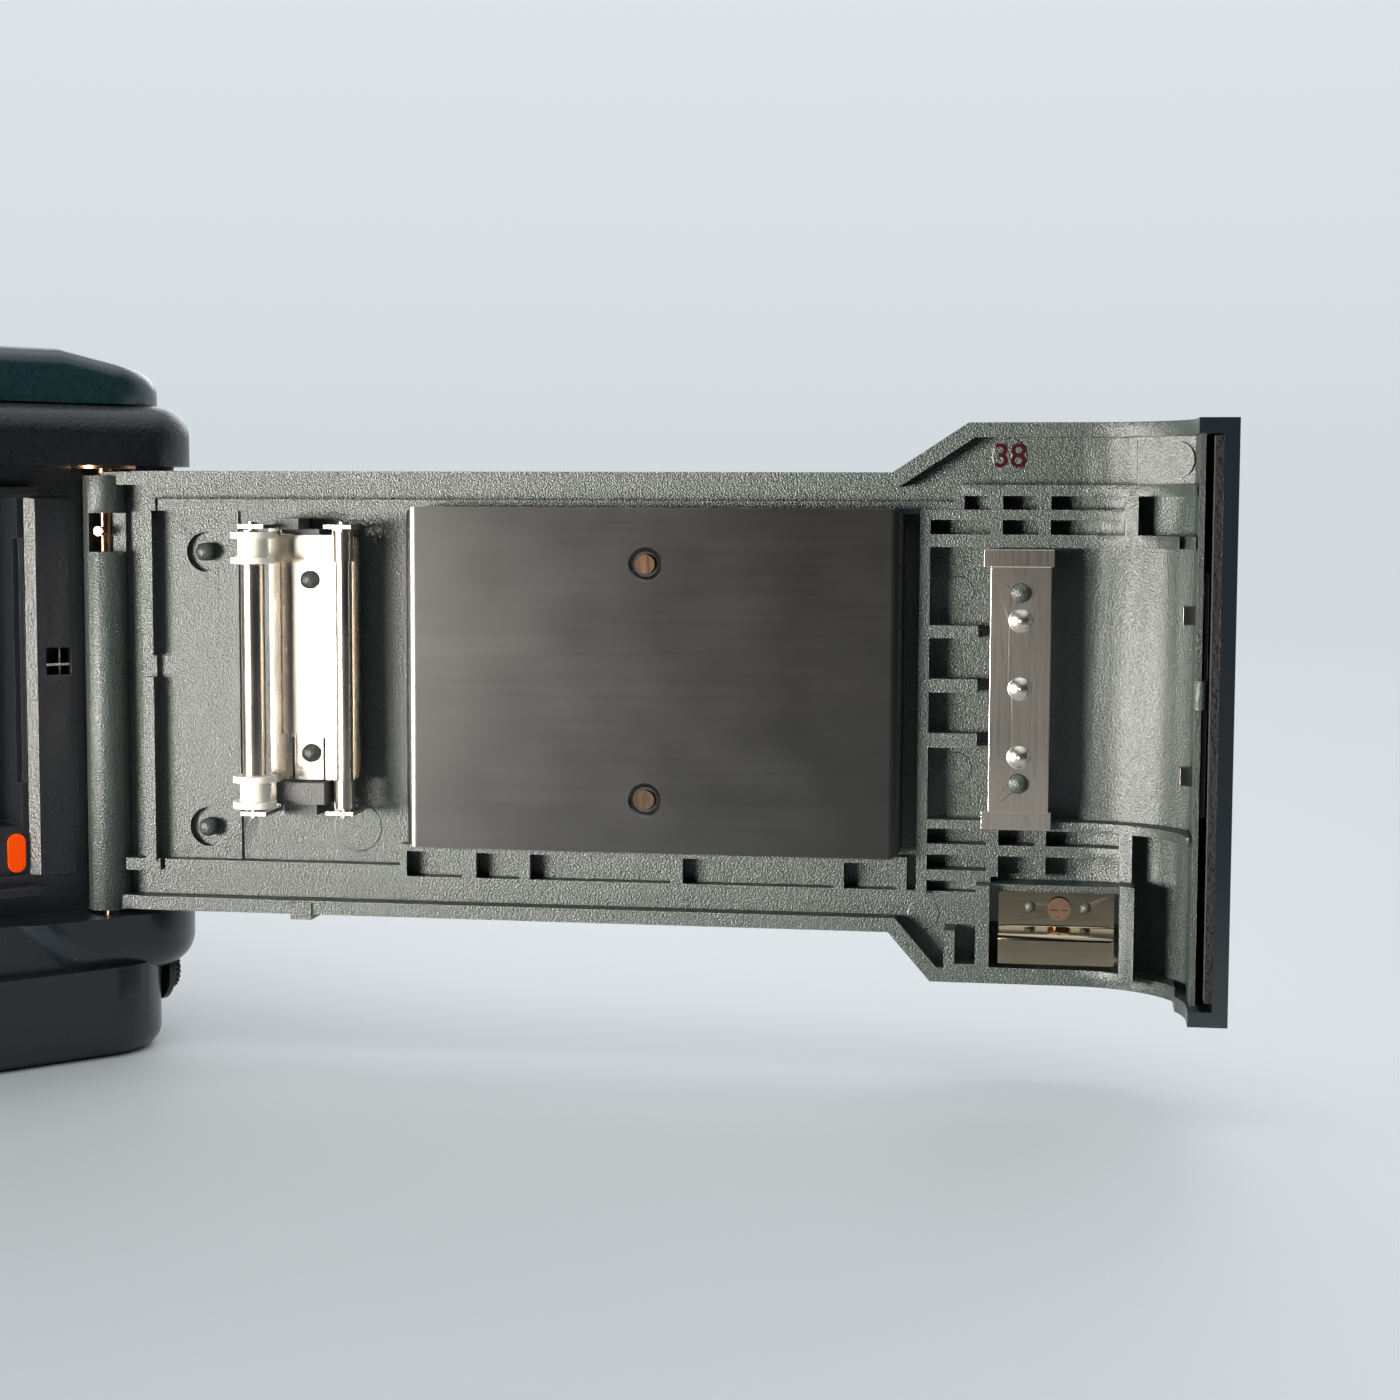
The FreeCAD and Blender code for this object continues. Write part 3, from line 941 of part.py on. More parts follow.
def top_cover():
    """Painted top shell with the prism housing."""
    plan = body_plan(TOP_COVER_RIGHT, TOP_COVER_REAR_Y, 8.0, GRIP_FRONT_Y - 2.8, housing=False, inset=0.0)
    plan = [(x if x > BODY_LEFT + 0.1 else x + 2.5, y - 2.6 if abs(y - FRONT_Y) < 0.1 else y, r)
            for x, y, r in plan]
    slab = softened(slab_xy(plan, SEAM_Z - 12.0, TOP_Z), 2.2, at_height(TOP_Z))
    # The right end falls away: the same rounded slab, sheared down to the side
    fall_x, fall = 60.0, 0.2
    shear = FreeCAD.Matrix(1, 0, 0, 0, 0, 1, 0, 0, -fall, 0, 1, fall * fall_x, 0, 0, 0, 1)
    right = slab.common(box(fall_x, FAR, -FAR, FAR, 0, FAR)).transformGeometry(shear)
    left = slab.common(box(-FAR, fall_x, -FAR, FAR, 0, FAR))
    slab = fused([left, right]).common(box(-FAR, FAR, -FAR, FAR, SEAM_Z, FAR))
    above = box(-FAR, FAR, -FAR, FAR, SEAM_Z, FAR)
    cover = fused([slab, hump_shape(0.0).common(above)])
    hollow = slab.common(box(-55.0, 66.0, -14.0, 9.0, SEAM_Z, TOP_Z - COVER_WALL))
    hump_hollow = hump_shape(COVER_WALL)
    cuts = [hollow, hump_hollow, finder_frame(0.0, 2.0, -30.0, -10.0),
            rod(4.6 + RUNNING_GAP, V(SHUTTER_X, SHUTTER_Y, 76.5), V(SHUTTER_X, SHUTTER_Y, FAR)),
            rod(5.6, V(53.7, *DIAL_AXIS), V(62.3, *DIAL_AXIS)), rod(1.0 + RUNNING_GAP, V(52.4, *DIAL_AXIS),
                                                                    V(63.6, *DIAL_AXIS)),
            rod(2.6 + RUNNING_GAP, V(MODE_DIAL_X, MODE_DIAL_Y, 78.0), V(MODE_DIAL_X, MODE_DIAL_Y, FAR))]
    for x, y in TOP_BUTTONS:
        cuts.append(rod(2.2 + RUNNING_GAP, V(x, y, 78.0), V(x, y, FAR)))
    cuts.append(lcd_window())
    return cover.cut(cuts)


def finder_frame(grow, corner, y0, y1):
    """Rounded block the size of the finder window, larger all round by grow."""
    x, z = FINDER_HALF_X + grow, FINDER_HALF_Z + grow
    return slab_xz([(-x, FINDER_Z - z, corner), (x, FINDER_Z - z, corner), (x, FINDER_Z + z, corner),
                    (-x, FINDER_Z + z, corner)], y0, y1)


def lcd_window():
    corners = [(31.0, -14.0, 1.5), (50.0, -14.0, 1.5), (50.0, -1.0, 1.5), (31.0, -1.0, 1.5)]
    return slab_xy(corners, TOP_Z - 1.0, TOP_Z)


def mode_dial():
    """Knurled dial with its stem in the top cover."""
    at = V(MODE_DIAL_X, MODE_DIAL_Y, TOP_Z + TOUCH_GAP)
    dial = toothed_disc(at, Z_AXIS, 9.5, 5.2, 0.35, 40)
    stem = rod(2.6, V(MODE_DIAL_X, MODE_DIAL_Y, 78.2), at)
    return fused([dial, stem])


def command_dial():
    """Thumb wheel across the top behind the shutter button."""
    wheel = toothed_disc(V(54.0, *DIAL_AXIS), X_AXIS, 5.2, 8.0, 0.3, 30)
    axle = rod(1.0, V(52.6, *DIAL_AXIS), V(63.4, *DIAL_AXIS))
    return fused([wheel, axle])


def shutter_button():
    at = lambda z: V(SHUTTER_X, SHUTTER_Y, z)
    cap = softened(rod(4.6, at(81.0), at(83.4)), 0.8, at_height(83.4))
    return fused([rod(2.0, at(78.0), at(82.0)), cap])


def top_button(x, y):
    return rod(2.2, V(x, y, 79.6), V(x, y, TOP_Z + 0.9))


def hot_shoe():
    """Accessory shoe with two folded rails."""
    half, length = 10.9, 18.5
    rear = -7.0
    base = box(-half, half, rear, rear + length, HUMP_Z, HUMP_Z + 0.6)
    pieces = [base, box(-half, half, rear + length - 1.0, rear + length, HUMP_Z, HUMP_Z + 1.6)]
    for side in (-1, 1):
        x0, x1 = sorted((side * half, side * (half - 1.2)))
        lip0, lip1 = sorted((side * half, side * (half - 2.9)))
        pieces += [box(x0, x1, rear, rear + length, HUMP_Z, HUMP_Z + 3.7),
                   box(lip0, lip1, rear, rear + length, HUMP_Z + 2.8, HUMP_Z + 3.7)]
    return fused(pieces)


def eyecup():
    """Rubber frame round the finder window."""
    half, low, high = 15.0, FINDER_Z - 8.9, FINDER_Z + 8.1
    outer = slab_xz([(-half, low, 4), (half, low, 4), (half, high, 4), (-half, high, 4)], -23.5,
                    TOP_COVER_REAR_Y)
    return outer.cut([finder_frame(0.0, 2.0, -24.0, -17.0), hump_shape(0.0)])


def eyepiece_lens():
    return finder_frame(-0.1, 1.9, -18.0, -16.2)


def pentaprism():
    """Roof prism above the focusing screen."""
    height = PRISM_TOP - PRISM_BOTTOM
    up = lambda share: PRISM_BOTTOM + share * height
    side = slab_yz([(20.5, up(0), 0), (20.5, up(0.384), 0), (9.0, up(1), 0), (-4.0, up(1), 0),
                    (-9.5, up(0.674), 0),
                    (-2.6, up(0.21), 0), (-2.6, up(0), 0)], -30.0, 30.0)
    behind = slab_xz([(-15.5, up(-0.02), 0), (15.5, up(-0.02), 0), (15.5, up(0.53), 0), (7.0, up(1.04), 0),
                      (-7.0, up(1.04), 0), (-15.5, up(0.53), 0)], -40.0, 40.0)
    return side.common(behind)


def focusing_screen():
    return box(-17.2, 17.2, -2.7, 21.2, PRISM_BOTTOM - 1.6, PRISM_BOTTOM - 0.4)


def lens_mount_ring():
    """Bayonet ring with three inner tabs and five screw seats."""
    at = lambda y: V(0, y, LENS_AXIS_Z)
    ring = rod(MOUNT_RADIUS, at(HOUSING_FRONT_Y), at(FLANGE_Y)).cut(rod(THROAT_RADIUS, at(0), at(60)))
    tab_ring = rod(THROAT_RADIUS + 0.5, at(FLANGE_Y - 1.3),
                   at(FLANGE_Y)).cut(rod(MOUNT_TAB_RADIUS, at(0), at(60)))
    tabs = []
    for turn in (10.0, 130.0, 250.0):
        sector = Part.makeCylinder(60.0, 20.0, at(20.0), Y_AXIS, 62.0)
        sector.rotate(at(0), Y_AXIS, turn)
        tabs.append(tab_ring.common(sector))
    ring = fused([ring] + tabs)
    seats = []
    for x, z in mount_screw_places():
        seats.append(Part.makeCone(0.9, 1.6, 0.8, V(x, FLANGE_Y - 0.8, z), Y_AXIS))
        seats.append(rod(0.9, V(x, HOUSING_FRONT_Y - 1, z), V(x, FLANGE_Y, z)))
    seats.append(rod(1.3, V(MOUNT_SCREW_CIRCLE * -0.98, FLANGE_Y - 2.2, LENS_AXIS_Z - 4.0),
                     V(MOUNT_SCREW_CIRCLE * -0.98, 40, LENS_AXIS_Z - 4.0)))
    return ring.cut(seats)


def mount_screw_places():
    places = []
    for i in range(MOUNT_SCREW_COUNT):
        turn = math.radians(90.0 + 360.0 * i / MOUNT_SCREW_COUNT)
        places.append((MOUNT_SCREW_CIRCLE * math.cos(turn),
                       LENS_AXIS_Z + MOUNT_SCREW_CIRCLE * math.sin(turn)))
    return places


def mount_screws():
    screws = []
    for x, z in mount_screw_places():
        head = Part.makeCone(0.85, 1.52, 0.75, V(x, FLANGE_Y - 0.78, z), Y_AXIS)
        shank = rod(0.85, V(x, HOUSING_FRONT_Y, z), V(x, FLANGE_Y - 0.78, z))
        slots = [box(x - 0.9, x + 0.9, FLANGE_Y - 0.3, FLANGE_Y + 1, z - 0.14, z + 0.14),
                 box(x - 0.14, x + 0.14, FLANGE_Y - 0.3, FLANGE_Y + 1, z - 0.9, z + 0.9)]
        screws.append(fused([head, shank]).cut(slots))
    return Part.makeCompound(screws)


def lens_release_button():
    at = lambda y: V(-41.0, y, 40.0)
    cap = rod(5.2 - RUNNING_GAP, at(FRONT_Y + 1.2), at(FRONT_Y + 7.5))
    return cap.makeFillet(0.8, [edge for edge in cap.Edges if edge.BoundBox.YMin > FRONT_Y + 7.4])


def mirror_holder():
    """Plate under the mirror, which turns up about its rear edge."""
    plate = box(-MIRROR_HALF, MIRROR_HALF, 0.0, MIRROR_LENGTH, -0.9, 0.0)
    trunnions = rod(0.9, V(-19.4, 0.9, -0.9), V(19.4, 0.9, -0.9))
    window = box(-7.0, 7.0, 9.0, 22.0, -2.0, 1.0)
    trunnions = trunnions.translated(V(0, -0.9, 0.9)).common(box(-30, 30, -5, 5, -5, 5))
    holder = fused([plate, trunnions]).cut(window)
    return place_mirror(holder)


def place_mirror(shape):
    shape = shape.copy()
    shape.rotate(V(0, 0, 0), X_AXIS, -MIRROR_ANGLE)
    shape.translate(V(0, MIRROR_PIVOT_Y, MIRROR_PIVOT_Z))
    return shape


def mirror_glass():
    return place_mirror(box(-MIRROR_HALF + 0.4, MIRROR_HALF - 0.4, 1.2, MIRROR_LENGTH - 0.2, 0.0, 0.8))


def sub_mirror():
    """Small mirror that hangs square behind the main one and folds against it."""
    plate = box(-6.5, 6.5, SUB_MIRROR_REACH - 0.3, SUB_MIRROR_REACH + 0.3, SUB_MIRROR_DROP - 10.0,
                SUB_MIRROR_DROP)
    pin = rod(0.5, V(-7.5, SUB_MIRROR_REACH, SUB_MIRROR_DROP), V(7.5, SUB_MIRROR_REACH, SUB_MIRROR_DROP))
    return place_mirror(fused([plate, pin]))


def curtain_blade(index, second):
    """One shutter blade; the first curtain hides the gate and the second waits above it."""
    first_low = LENS_AXIS_Z - GATE_HEIGHT / 2 - 1.25
    low = first_low + BLADE_STEP * index
    if second:
        low = first_low + BLADE_STEP * (BLADE_COUNT - 1) + BLADE_HEIGHT - 0.7
    layer = index + (BLADE_COUNT + 0.5 if second else 0)
    y = GATE_WALL_Y + GATE_WALL + 0.35 + BLADE_PITCH * layer
    return box(-BLADE_HALF, BLADE_HALF, y, y + BLADE_THICK, low, low + BLADE_HEIGHT)


def takeup_spool():
    at = lambda z: V(SPOOL_X, SPOOL_Y, z)
    drum = rod(SPOOL_RADIUS, at(SPOOL_BOTTOM + 0.5), at(SPOOL_TOP - 0.5))
    axle = rod(2.0, at(SPINDLE_BOTTOM + 0.4), at(SPINDLE_TOP - 0.2))
    grips = []
    for i in range(4):
        grip = box(SPOOL_RADIUS - 1.2, SPOOL_RADIUS + 0.5, -0.6, 0.6, SPOOL_BOTTOM + 3, SPOOL_TOP - 3)
        grip.rotate(V(0, 0, 0), Z_AXIS, 45.0 + 90.0 * i)
        grips.append(grip.translated(at(0)))
    return fused([drum, axle] + grips)


def sprocket_shaft():
    at = lambda z: V(SPROCKET_X, SPROCKET_Y, z)
    pieces = [rod(SPROCKET_RADIUS - 0.9, at(23.5), at(64.4)),
              rod(1.5, at(SPINDLE_BOTTOM + 0.4), at(SPINDLE_TOP - 0.2))]
    teeth = 8
    for side in (-1, 1):
        z = LENS_AXIS_Z + side * ROW_SPACING / 2
        pieces.append(rod(SPROCKET_RADIUS, at(z - 2.2), at(z + 2.2)))
        for i in range(teeth):
            tooth = box(SPROCKET_RADIUS - 0.5, SPROCKET_RADIUS + SPROCKET_TOOTH, -0.6, 0.6, z - 0.8, z + 0.8)
            tooth.rotate(V(0, 0, 0), Z_AXIS, 360.0 * i / teeth)
            pieces.append(tooth.translated(at(0)))
    return fused(pieces)


def rewind_fork():
    """Fork that turns the cartridge's spool to wind the film back."""
    at = lambda z: V(CARTRIDGE_X, CARTRIDGE_Y, z)
    shaft = rod(3.0, at(8.6), at(CARTRIDGE_BOTTOM + 0.3))
    disc = rod(5.6, at(CARTRIDGE_BOTTOM + 0.3), at(CARTRIDGE_BOTTOM + 1.8))
    prongs = [box(CARTRIDGE_X - 2.4, CARTRIDGE_X + 2.4, CARTRIDGE_Y - 0.5, CARTRIDGE_Y + 0.5,
                  CARTRIDGE_BOTTOM + 1.8, CARTRIDGE_BOTTOM + 6.5)]
    return fused([shaft, disc] + prongs)


def strap_lugs():
    lugs = []
    for side, face in ((-1, BODY_LEFT), (1, SIDE_RIGHT)):
        x = face + side * LUG_REACH
        eye = rod(LUG_RADIUS, V(x, LUG_Y - LUG_THICK / 2, LUG_Z), V(x, LUG_Y + LUG_THICK / 2, LUG_Z))
        x0, x1 = sorted((face, x))
        root = box(x0, x1, LUG_Y - LUG_THICK / 2, LUG_Y + LUG_THICK / 2, LUG_Z - 2.4, LUG_Z + 2.4)
        inside = box(BODY_LEFT, SIDE_RIGHT, -FAR, FAR, -FAR, FAR)
        hole = rod(LUG_BORE, V(x, LUG_Y - 5, LUG_Z), V(x, LUG_Y + 5, LUG_Z))
        lugs.append(fused([eye, root]).cut([hole, inside]))
    return Part.makeCompound(lugs)


DOOR_PARTS = {
    "back_door": back_door,
    "hinge_pin": hinge_pin,
    "pressure_plate": pressure_plate,
    "plate_rivets": plate_rivets,
    "plate_spring": plate_spring,
    "roller_bracket": roller_bracket,
    "bracket_blocks": bracket_blocks,
    "film_roller": film_roller,
    "roller_rings": roller_rings,
    "guide_roller": guide_roller,
    "cartridge_spring": cartridge_spring,
    "cartridge_clip": cartridge_clip,
    "clip_screw": clip_screw,
    "latch_slide": latch_slide,
    "end_felt": end_felt,
}

BODY_PARTS = {
    "hinge_pin_lower": hinge_pin_lower,
    "hinge_washer": hinge_washer,
    "body_casting": body_casting,
    "film_rails": film_rails,
    "film_index_mark": film_index_mark,
    "back_contact": back_contact,
    "dx_contacts": dx_contacts,
    "front_cover": front_cover,
    "grip_shell": grip_shell,
    "battery": battery,
    "base_cover": base_cover,
    "grip_screw": grip_screw,
    "tripod_socket": tripod_socket,
    "upper_cover": upper_cover,
    "top_cover": top_cover,
    "lcd_window": lcd_window,
    "mode_dial": mode_dial,
    "command_dial": command_dial,
    "shutter_button": shutter_button,
    "hot_shoe": hot_shoe,
    "eyecup": eyecup,
    "eyepiece_lens": eyepiece_lens,
    "pentaprism": pentaprism,
    "focusing_screen": focusing_screen,
    "lens_mount_ring": lens_mount_ring,
    "mount_screws": mount_screws,
    "lens_release_button": lens_release_button,
    "mirror_holder": mirror_holder,
    "mirror_glass": mirror_glass,
    "sub_mirror": sub_mirror,
    "takeup_spool": takeup_spool,
    "sprocket_shaft": sprocket_shaft,
    "rewind_fork": rewind_fork,
    "strap_lugs": strap_lugs,
}


def main():
    os.makedirs("parts", exist_ok=True)
    parts = {name: make() for name, make in BODY_PARTS.items()}
    for name, make in DOOR_PARTS.items():
        shape = make()
        shape.rotate(V(HINGE_X, HINGE_Y, 0), Z_AXIS, DOOR_OPEN)
        parts[name] = shape
    for i in range(BLADE_COUNT):
        parts[f"first_curtain_{i + 1}"] = curtain_blade(i, False)
        parts[f"second_curtain_{i + 1}"] = curtain_blade(i, True)
    for i, (x, y) in enumerate(TOP_BUTTONS):
        parts[f"top_button_{i + 1}"] = top_button(x, y)
    for name, shape in parts.items():
        shape.exportStep(f"parts/{name}.step")
        print(f"{name:22s} solids {len(shape.Solids)} volume {shape.Volume:10.1f} valid {shape.isValid()}")


main()
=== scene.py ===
import bpy
import bmesh
import json
import math
from mathutils import Vector, Matrix

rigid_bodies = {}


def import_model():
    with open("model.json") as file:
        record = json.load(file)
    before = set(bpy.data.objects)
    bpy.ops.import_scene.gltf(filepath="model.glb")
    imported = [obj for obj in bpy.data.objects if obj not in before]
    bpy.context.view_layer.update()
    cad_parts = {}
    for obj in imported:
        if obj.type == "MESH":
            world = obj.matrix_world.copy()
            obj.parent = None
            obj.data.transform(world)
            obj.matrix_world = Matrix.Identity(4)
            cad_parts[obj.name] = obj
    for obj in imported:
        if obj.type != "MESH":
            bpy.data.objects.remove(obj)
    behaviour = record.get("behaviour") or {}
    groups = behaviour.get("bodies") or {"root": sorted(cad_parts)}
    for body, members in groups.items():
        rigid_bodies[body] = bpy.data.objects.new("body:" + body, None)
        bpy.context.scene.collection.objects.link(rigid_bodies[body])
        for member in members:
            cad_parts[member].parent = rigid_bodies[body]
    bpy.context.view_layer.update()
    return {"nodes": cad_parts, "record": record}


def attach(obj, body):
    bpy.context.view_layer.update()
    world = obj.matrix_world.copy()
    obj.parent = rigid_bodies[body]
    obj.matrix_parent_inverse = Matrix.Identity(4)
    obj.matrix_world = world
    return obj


mm = 0.001
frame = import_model()
nodes = frame["nodes"]
print("frame loaded:", len(nodes), "nodes")

# Camera, at the photograph's place: it looks at the open back from behind and a little above
photoCamera = {
    "eye": (-53.2, -280.5, 64.4),
    "forward": (0.615, 0.784, -0.081),
    "right": (0.787, -0.617, 0.004),
    "focalPixels": 2400.0,
    "imagePixels": 1400.0,
    "sensor": 36.0,
    "nearest": 0.01,
    "farthest": 50.0,
}


def makeCamera(p):
    data = bpy.data.cameras.new("photoCamera")
    data.sensor_width = p["sensor"]
    data.lens = p["sensor"] * p["focalPixels"] / p["imagePixels"]
    data.clip_start = p["nearest"]
    data.clip_end = p["farthest"]
    cam = bpy.data.objects.new("photoCamera", data)
    bpy.context.scene.collection.objects.link(cam)
    back = -Vector(p["forward"]).normalized()
    right = Vector(p["right"])
    right = (right - back * right.dot(back)).normalized()
    up = back.cross(right)
    turn = Matrix((right, up, back)).transposed().to_4x4()
    cam.matrix_world = Matrix.Translation(Vector(p["eye"]) * mm) @ turn
    bpy.context.scene.camera = cam


makeCamera(photoCamera)
bpy.context.scene.view_settings.view_transform = "Standard"
bpy.context.scene.view_settings.look = "None"


# Small helpers for shader trees
def newTree(material):
    material.use_nodes = True
    tree = material.node_tree
    tree.nodes.clear()
    out = tree.nodes.new("ShaderNodeOutputMaterial")
    shader = tree.nodes.new("ShaderNodeBsdfPrincipled")
    tree.links.new(shader.outputs["BSDF"], out.inputs["Surface"])
    return tree, shader


def feed(tree, socket, value):
    if isinstance(value, bpy.types.NodeSocket):
        tree.links.new(value, socket)
    else:
        socket.default_value = value


def addNode(tree, kind, inputs=None, **settings):
    node = tree.nodes.new(kind)
    for key, value in settings.items():
        setattr(node, key, value)
    for key, value in (inputs or {}).items():
        feed(tree, node.inputs[key], value)
    return node


def objectPlace(tree):
    return addNode(tree, "ShaderNodeTexCoord").outputs["Object"]


def mapRange(tree, value, low, high, toLow=0.0, toHigh=1.0):
    return addNode(tree, "ShaderNodeMapRange", {"Value": value, "From Min": low, "From Max": high,
                                                "To Min": toLow, "To Max": toHigh}).outputs["Result"]


def mixColor(tree, factor, a, b):
    node = addNode(tree, "ShaderNodeMix", data_type="RGBA", blend_type="MIX")
    for index, value in ((0, factor), (6, a), (7, b)):  # the colour sockets of this node
        feed(tree, node.inputs[index], value)
    return node.outputs[2]


def doMath(tree, kind, a, b=0.0):
    return addNode(tree, "ShaderNodeMath", {0: a, 1: b}, operation=kind).outputs[0]


def doVector(tree, kind, a, b):
    return addNode(tree, "ShaderNodeVectorMath", {0: a, 1: b}, operation=kind)


def noise(tree, where, scale, detail, **more):
    inputs = {"Vector": where, "Scale": scale, "Detail": detail, **more}
    return addNode(tree, "ShaderNodeTexNoise", inputs).outputs["Fac"]


def newGroup(name, inputs, outputs):
    tree = bpy.data.node_groups.new(name, "ShaderNodeTree")
    for label, value in inputs.items():
        kind = "NodeSocketVector" if isinstance(value, tuple) else "NodeSocketFloat"
        tree.interface.new_socket(name=label, in_out="INPUT", socket_type=kind).default_value = value
    for label in outputs:
        tree.interface.new_socket(name=label, in_out="OUTPUT", socket_type="NodeSocketFloat")
    return tree, tree.nodes.new("NodeGroupInput"), tree.nodes.new("NodeGroupOutput")


def useGroup(tree, group, **values):
    node = tree.nodes.new("ShaderNodeGroup")
    node.node_tree = group
    setPlain(node, values)
    return node


def setPlain(shader, values):
    for key, value in values.items():
        shader.inputs[key].default_value = value


# Effects shared by several finishes
mouldGrainLook = {
    "size": 3000.0, "contrast": 0.5, "detail": 2.0, "roughness": 0.6, "cellDepth": -0.6, "middle": 0.5,
    "patchScale": 55.0, "patchDetail": 3.0,
}


def makeMouldGrain(p):
    # spark-eroded mould texture: fine pebbles with a little unevenness in tone
    inputs = {"Size": p["size"], "Contrast": p["contrast"]}
    tree, enter, leave = newGroup("mouldGrain", inputs, ("Height", "Tone", "Patch"))
    where = objectPlace(tree)
    size = enter.outputs["Size"]
    fine = noise(tree, where, size, p["detail"], Roughness=p["roughness"])
    cells = addNode(tree, "ShaderNodeTexVoronoi", {"Vector": where, "Scale": size}, feature="SMOOTH_F1")
    pits = doMath(tree, "MULTIPLY", cells.outputs["Distance"], p["cellDepth"])
    tree.links.new(doMath(tree, "ADD", pits, fine), leave.inputs["Height"])
    spread = doMath(tree, "MULTIPLY", doMath(tree, "SUBTRACT", fine, p["middle"]), enter.outputs["Contrast"])
    tree.links.new(doMath(tree, "ADD", spread, p["middle"]), leave.inputs["Tone"])
    tree.links.new(noise(tree, where, p["patchScale"], p["patchDetail"]), leave.inputs["Patch"])
    return tree


edgeWearLook = {
    "reach": 0.0003, "amount": 0.5, "samples": 4, "turn": (0.995, 0.85),
    "breakScale": 400.0, "breakDetail": 4.0, "breakRange": (0.35, 0.65),
}


def makeEdgeWear(p):
    # mask along outer edges, broken up by noise
    tree, enter, leave = newGroup("edgeWear", {"Reach": p["reach"], "Amount": p["amount"]}, ("Mask",))
    soft = addNode(tree, "ShaderNodeBevel", {"Radius": enter.outputs["Reach"]}, samples=p["samples"])
    sharp = addNode(tree, "ShaderNodeNewGeometry")
    turn = doVector(tree, "DOT_PRODUCT", soft.outputs["Normal"], sharp.outputs["Normal"])
    edge = mapRange(tree, turn.outputs["Value"], *p["turn"])
    breakUp = noise(tree, objectPlace(tree), p["breakScale"], p["breakDetail"])
    kept = mapRange(tree, breakUp, *p["breakRange"])
    mask = doMath(tree, "MULTIPLY", doMath(tree, "MULTIPLY", edge, kept), enter.outputs["Amount"])
    tree.links.new(mask, leave.inputs["Mask"])
    return tree


brushingLook = {
    "along": (1.0, 1.0, 60.0), "fineness": 90.0, "detail": 3.0, "smearScale": 120.0, "smearDetail": 3.0,
}


def makeBrushing(p):
    # straight hairlines along one axis, for rolled and drawn metal
    inputs = {"Along": p["along"], "Fineness": p["fineness"]}
    tree, enter, leave = newGroup("brushing", inputs, ("Line", "Smear"))
    where = objectPlace(tree)
    stretched = doVector(tree, "MULTIPLY", where, enter.outputs["Along"]).outputs["Vector"]
    tree.links.new(noise(tree, stretched, enter.outputs["Fineness"], p["detail"]), leave.inputs["Line"])
    tree.links.new(noise(tree, where, p["smearScale"], p["smearDetail"]), leave.inputs["Smear"])
    return tree


dustLook = {
    "scale": 900.0, "amount": 0.3, "speckRange": (0.09, 0.05),
    "pickScale": 160.0, "pickDetail": 2.0, "pickRange": (0.62, 0.7),
}


def makeDust(p):
    # sparse light specks of lint
    tree, enter, leave = newGroup("dust", {"Scale": p["scale"], "Amount": p["amount"]}, ("Mask",))
    where = objectPlace(tree)
    specks = addNode(tree, "ShaderNodeTexVoronoi", {"Vector": where, "Scale": enter.outputs["Scale"]})
    near = mapRange(tree, specks.outputs["Distance"], *p["speckRange"])
    chosen = mapRange(tree, noise(tree, where, p["pickScale"], p["pickDetail"]), *p["pickRange"])
    mask = doMath(tree, "MULTIPLY", doMath(tree, "MULTIPLY", near, chosen), enter.outputs["Amount"])
    tree.links.new(mask, leave.inputs["Mask"])
    return tree


mouldGrain = makeMouldGrain(mouldGrainLook)
edgeWear = makeEdgeWear(edgeWearLook)
brushing = makeBrushing(brushingLook)
dust = makeDust(dustLook)

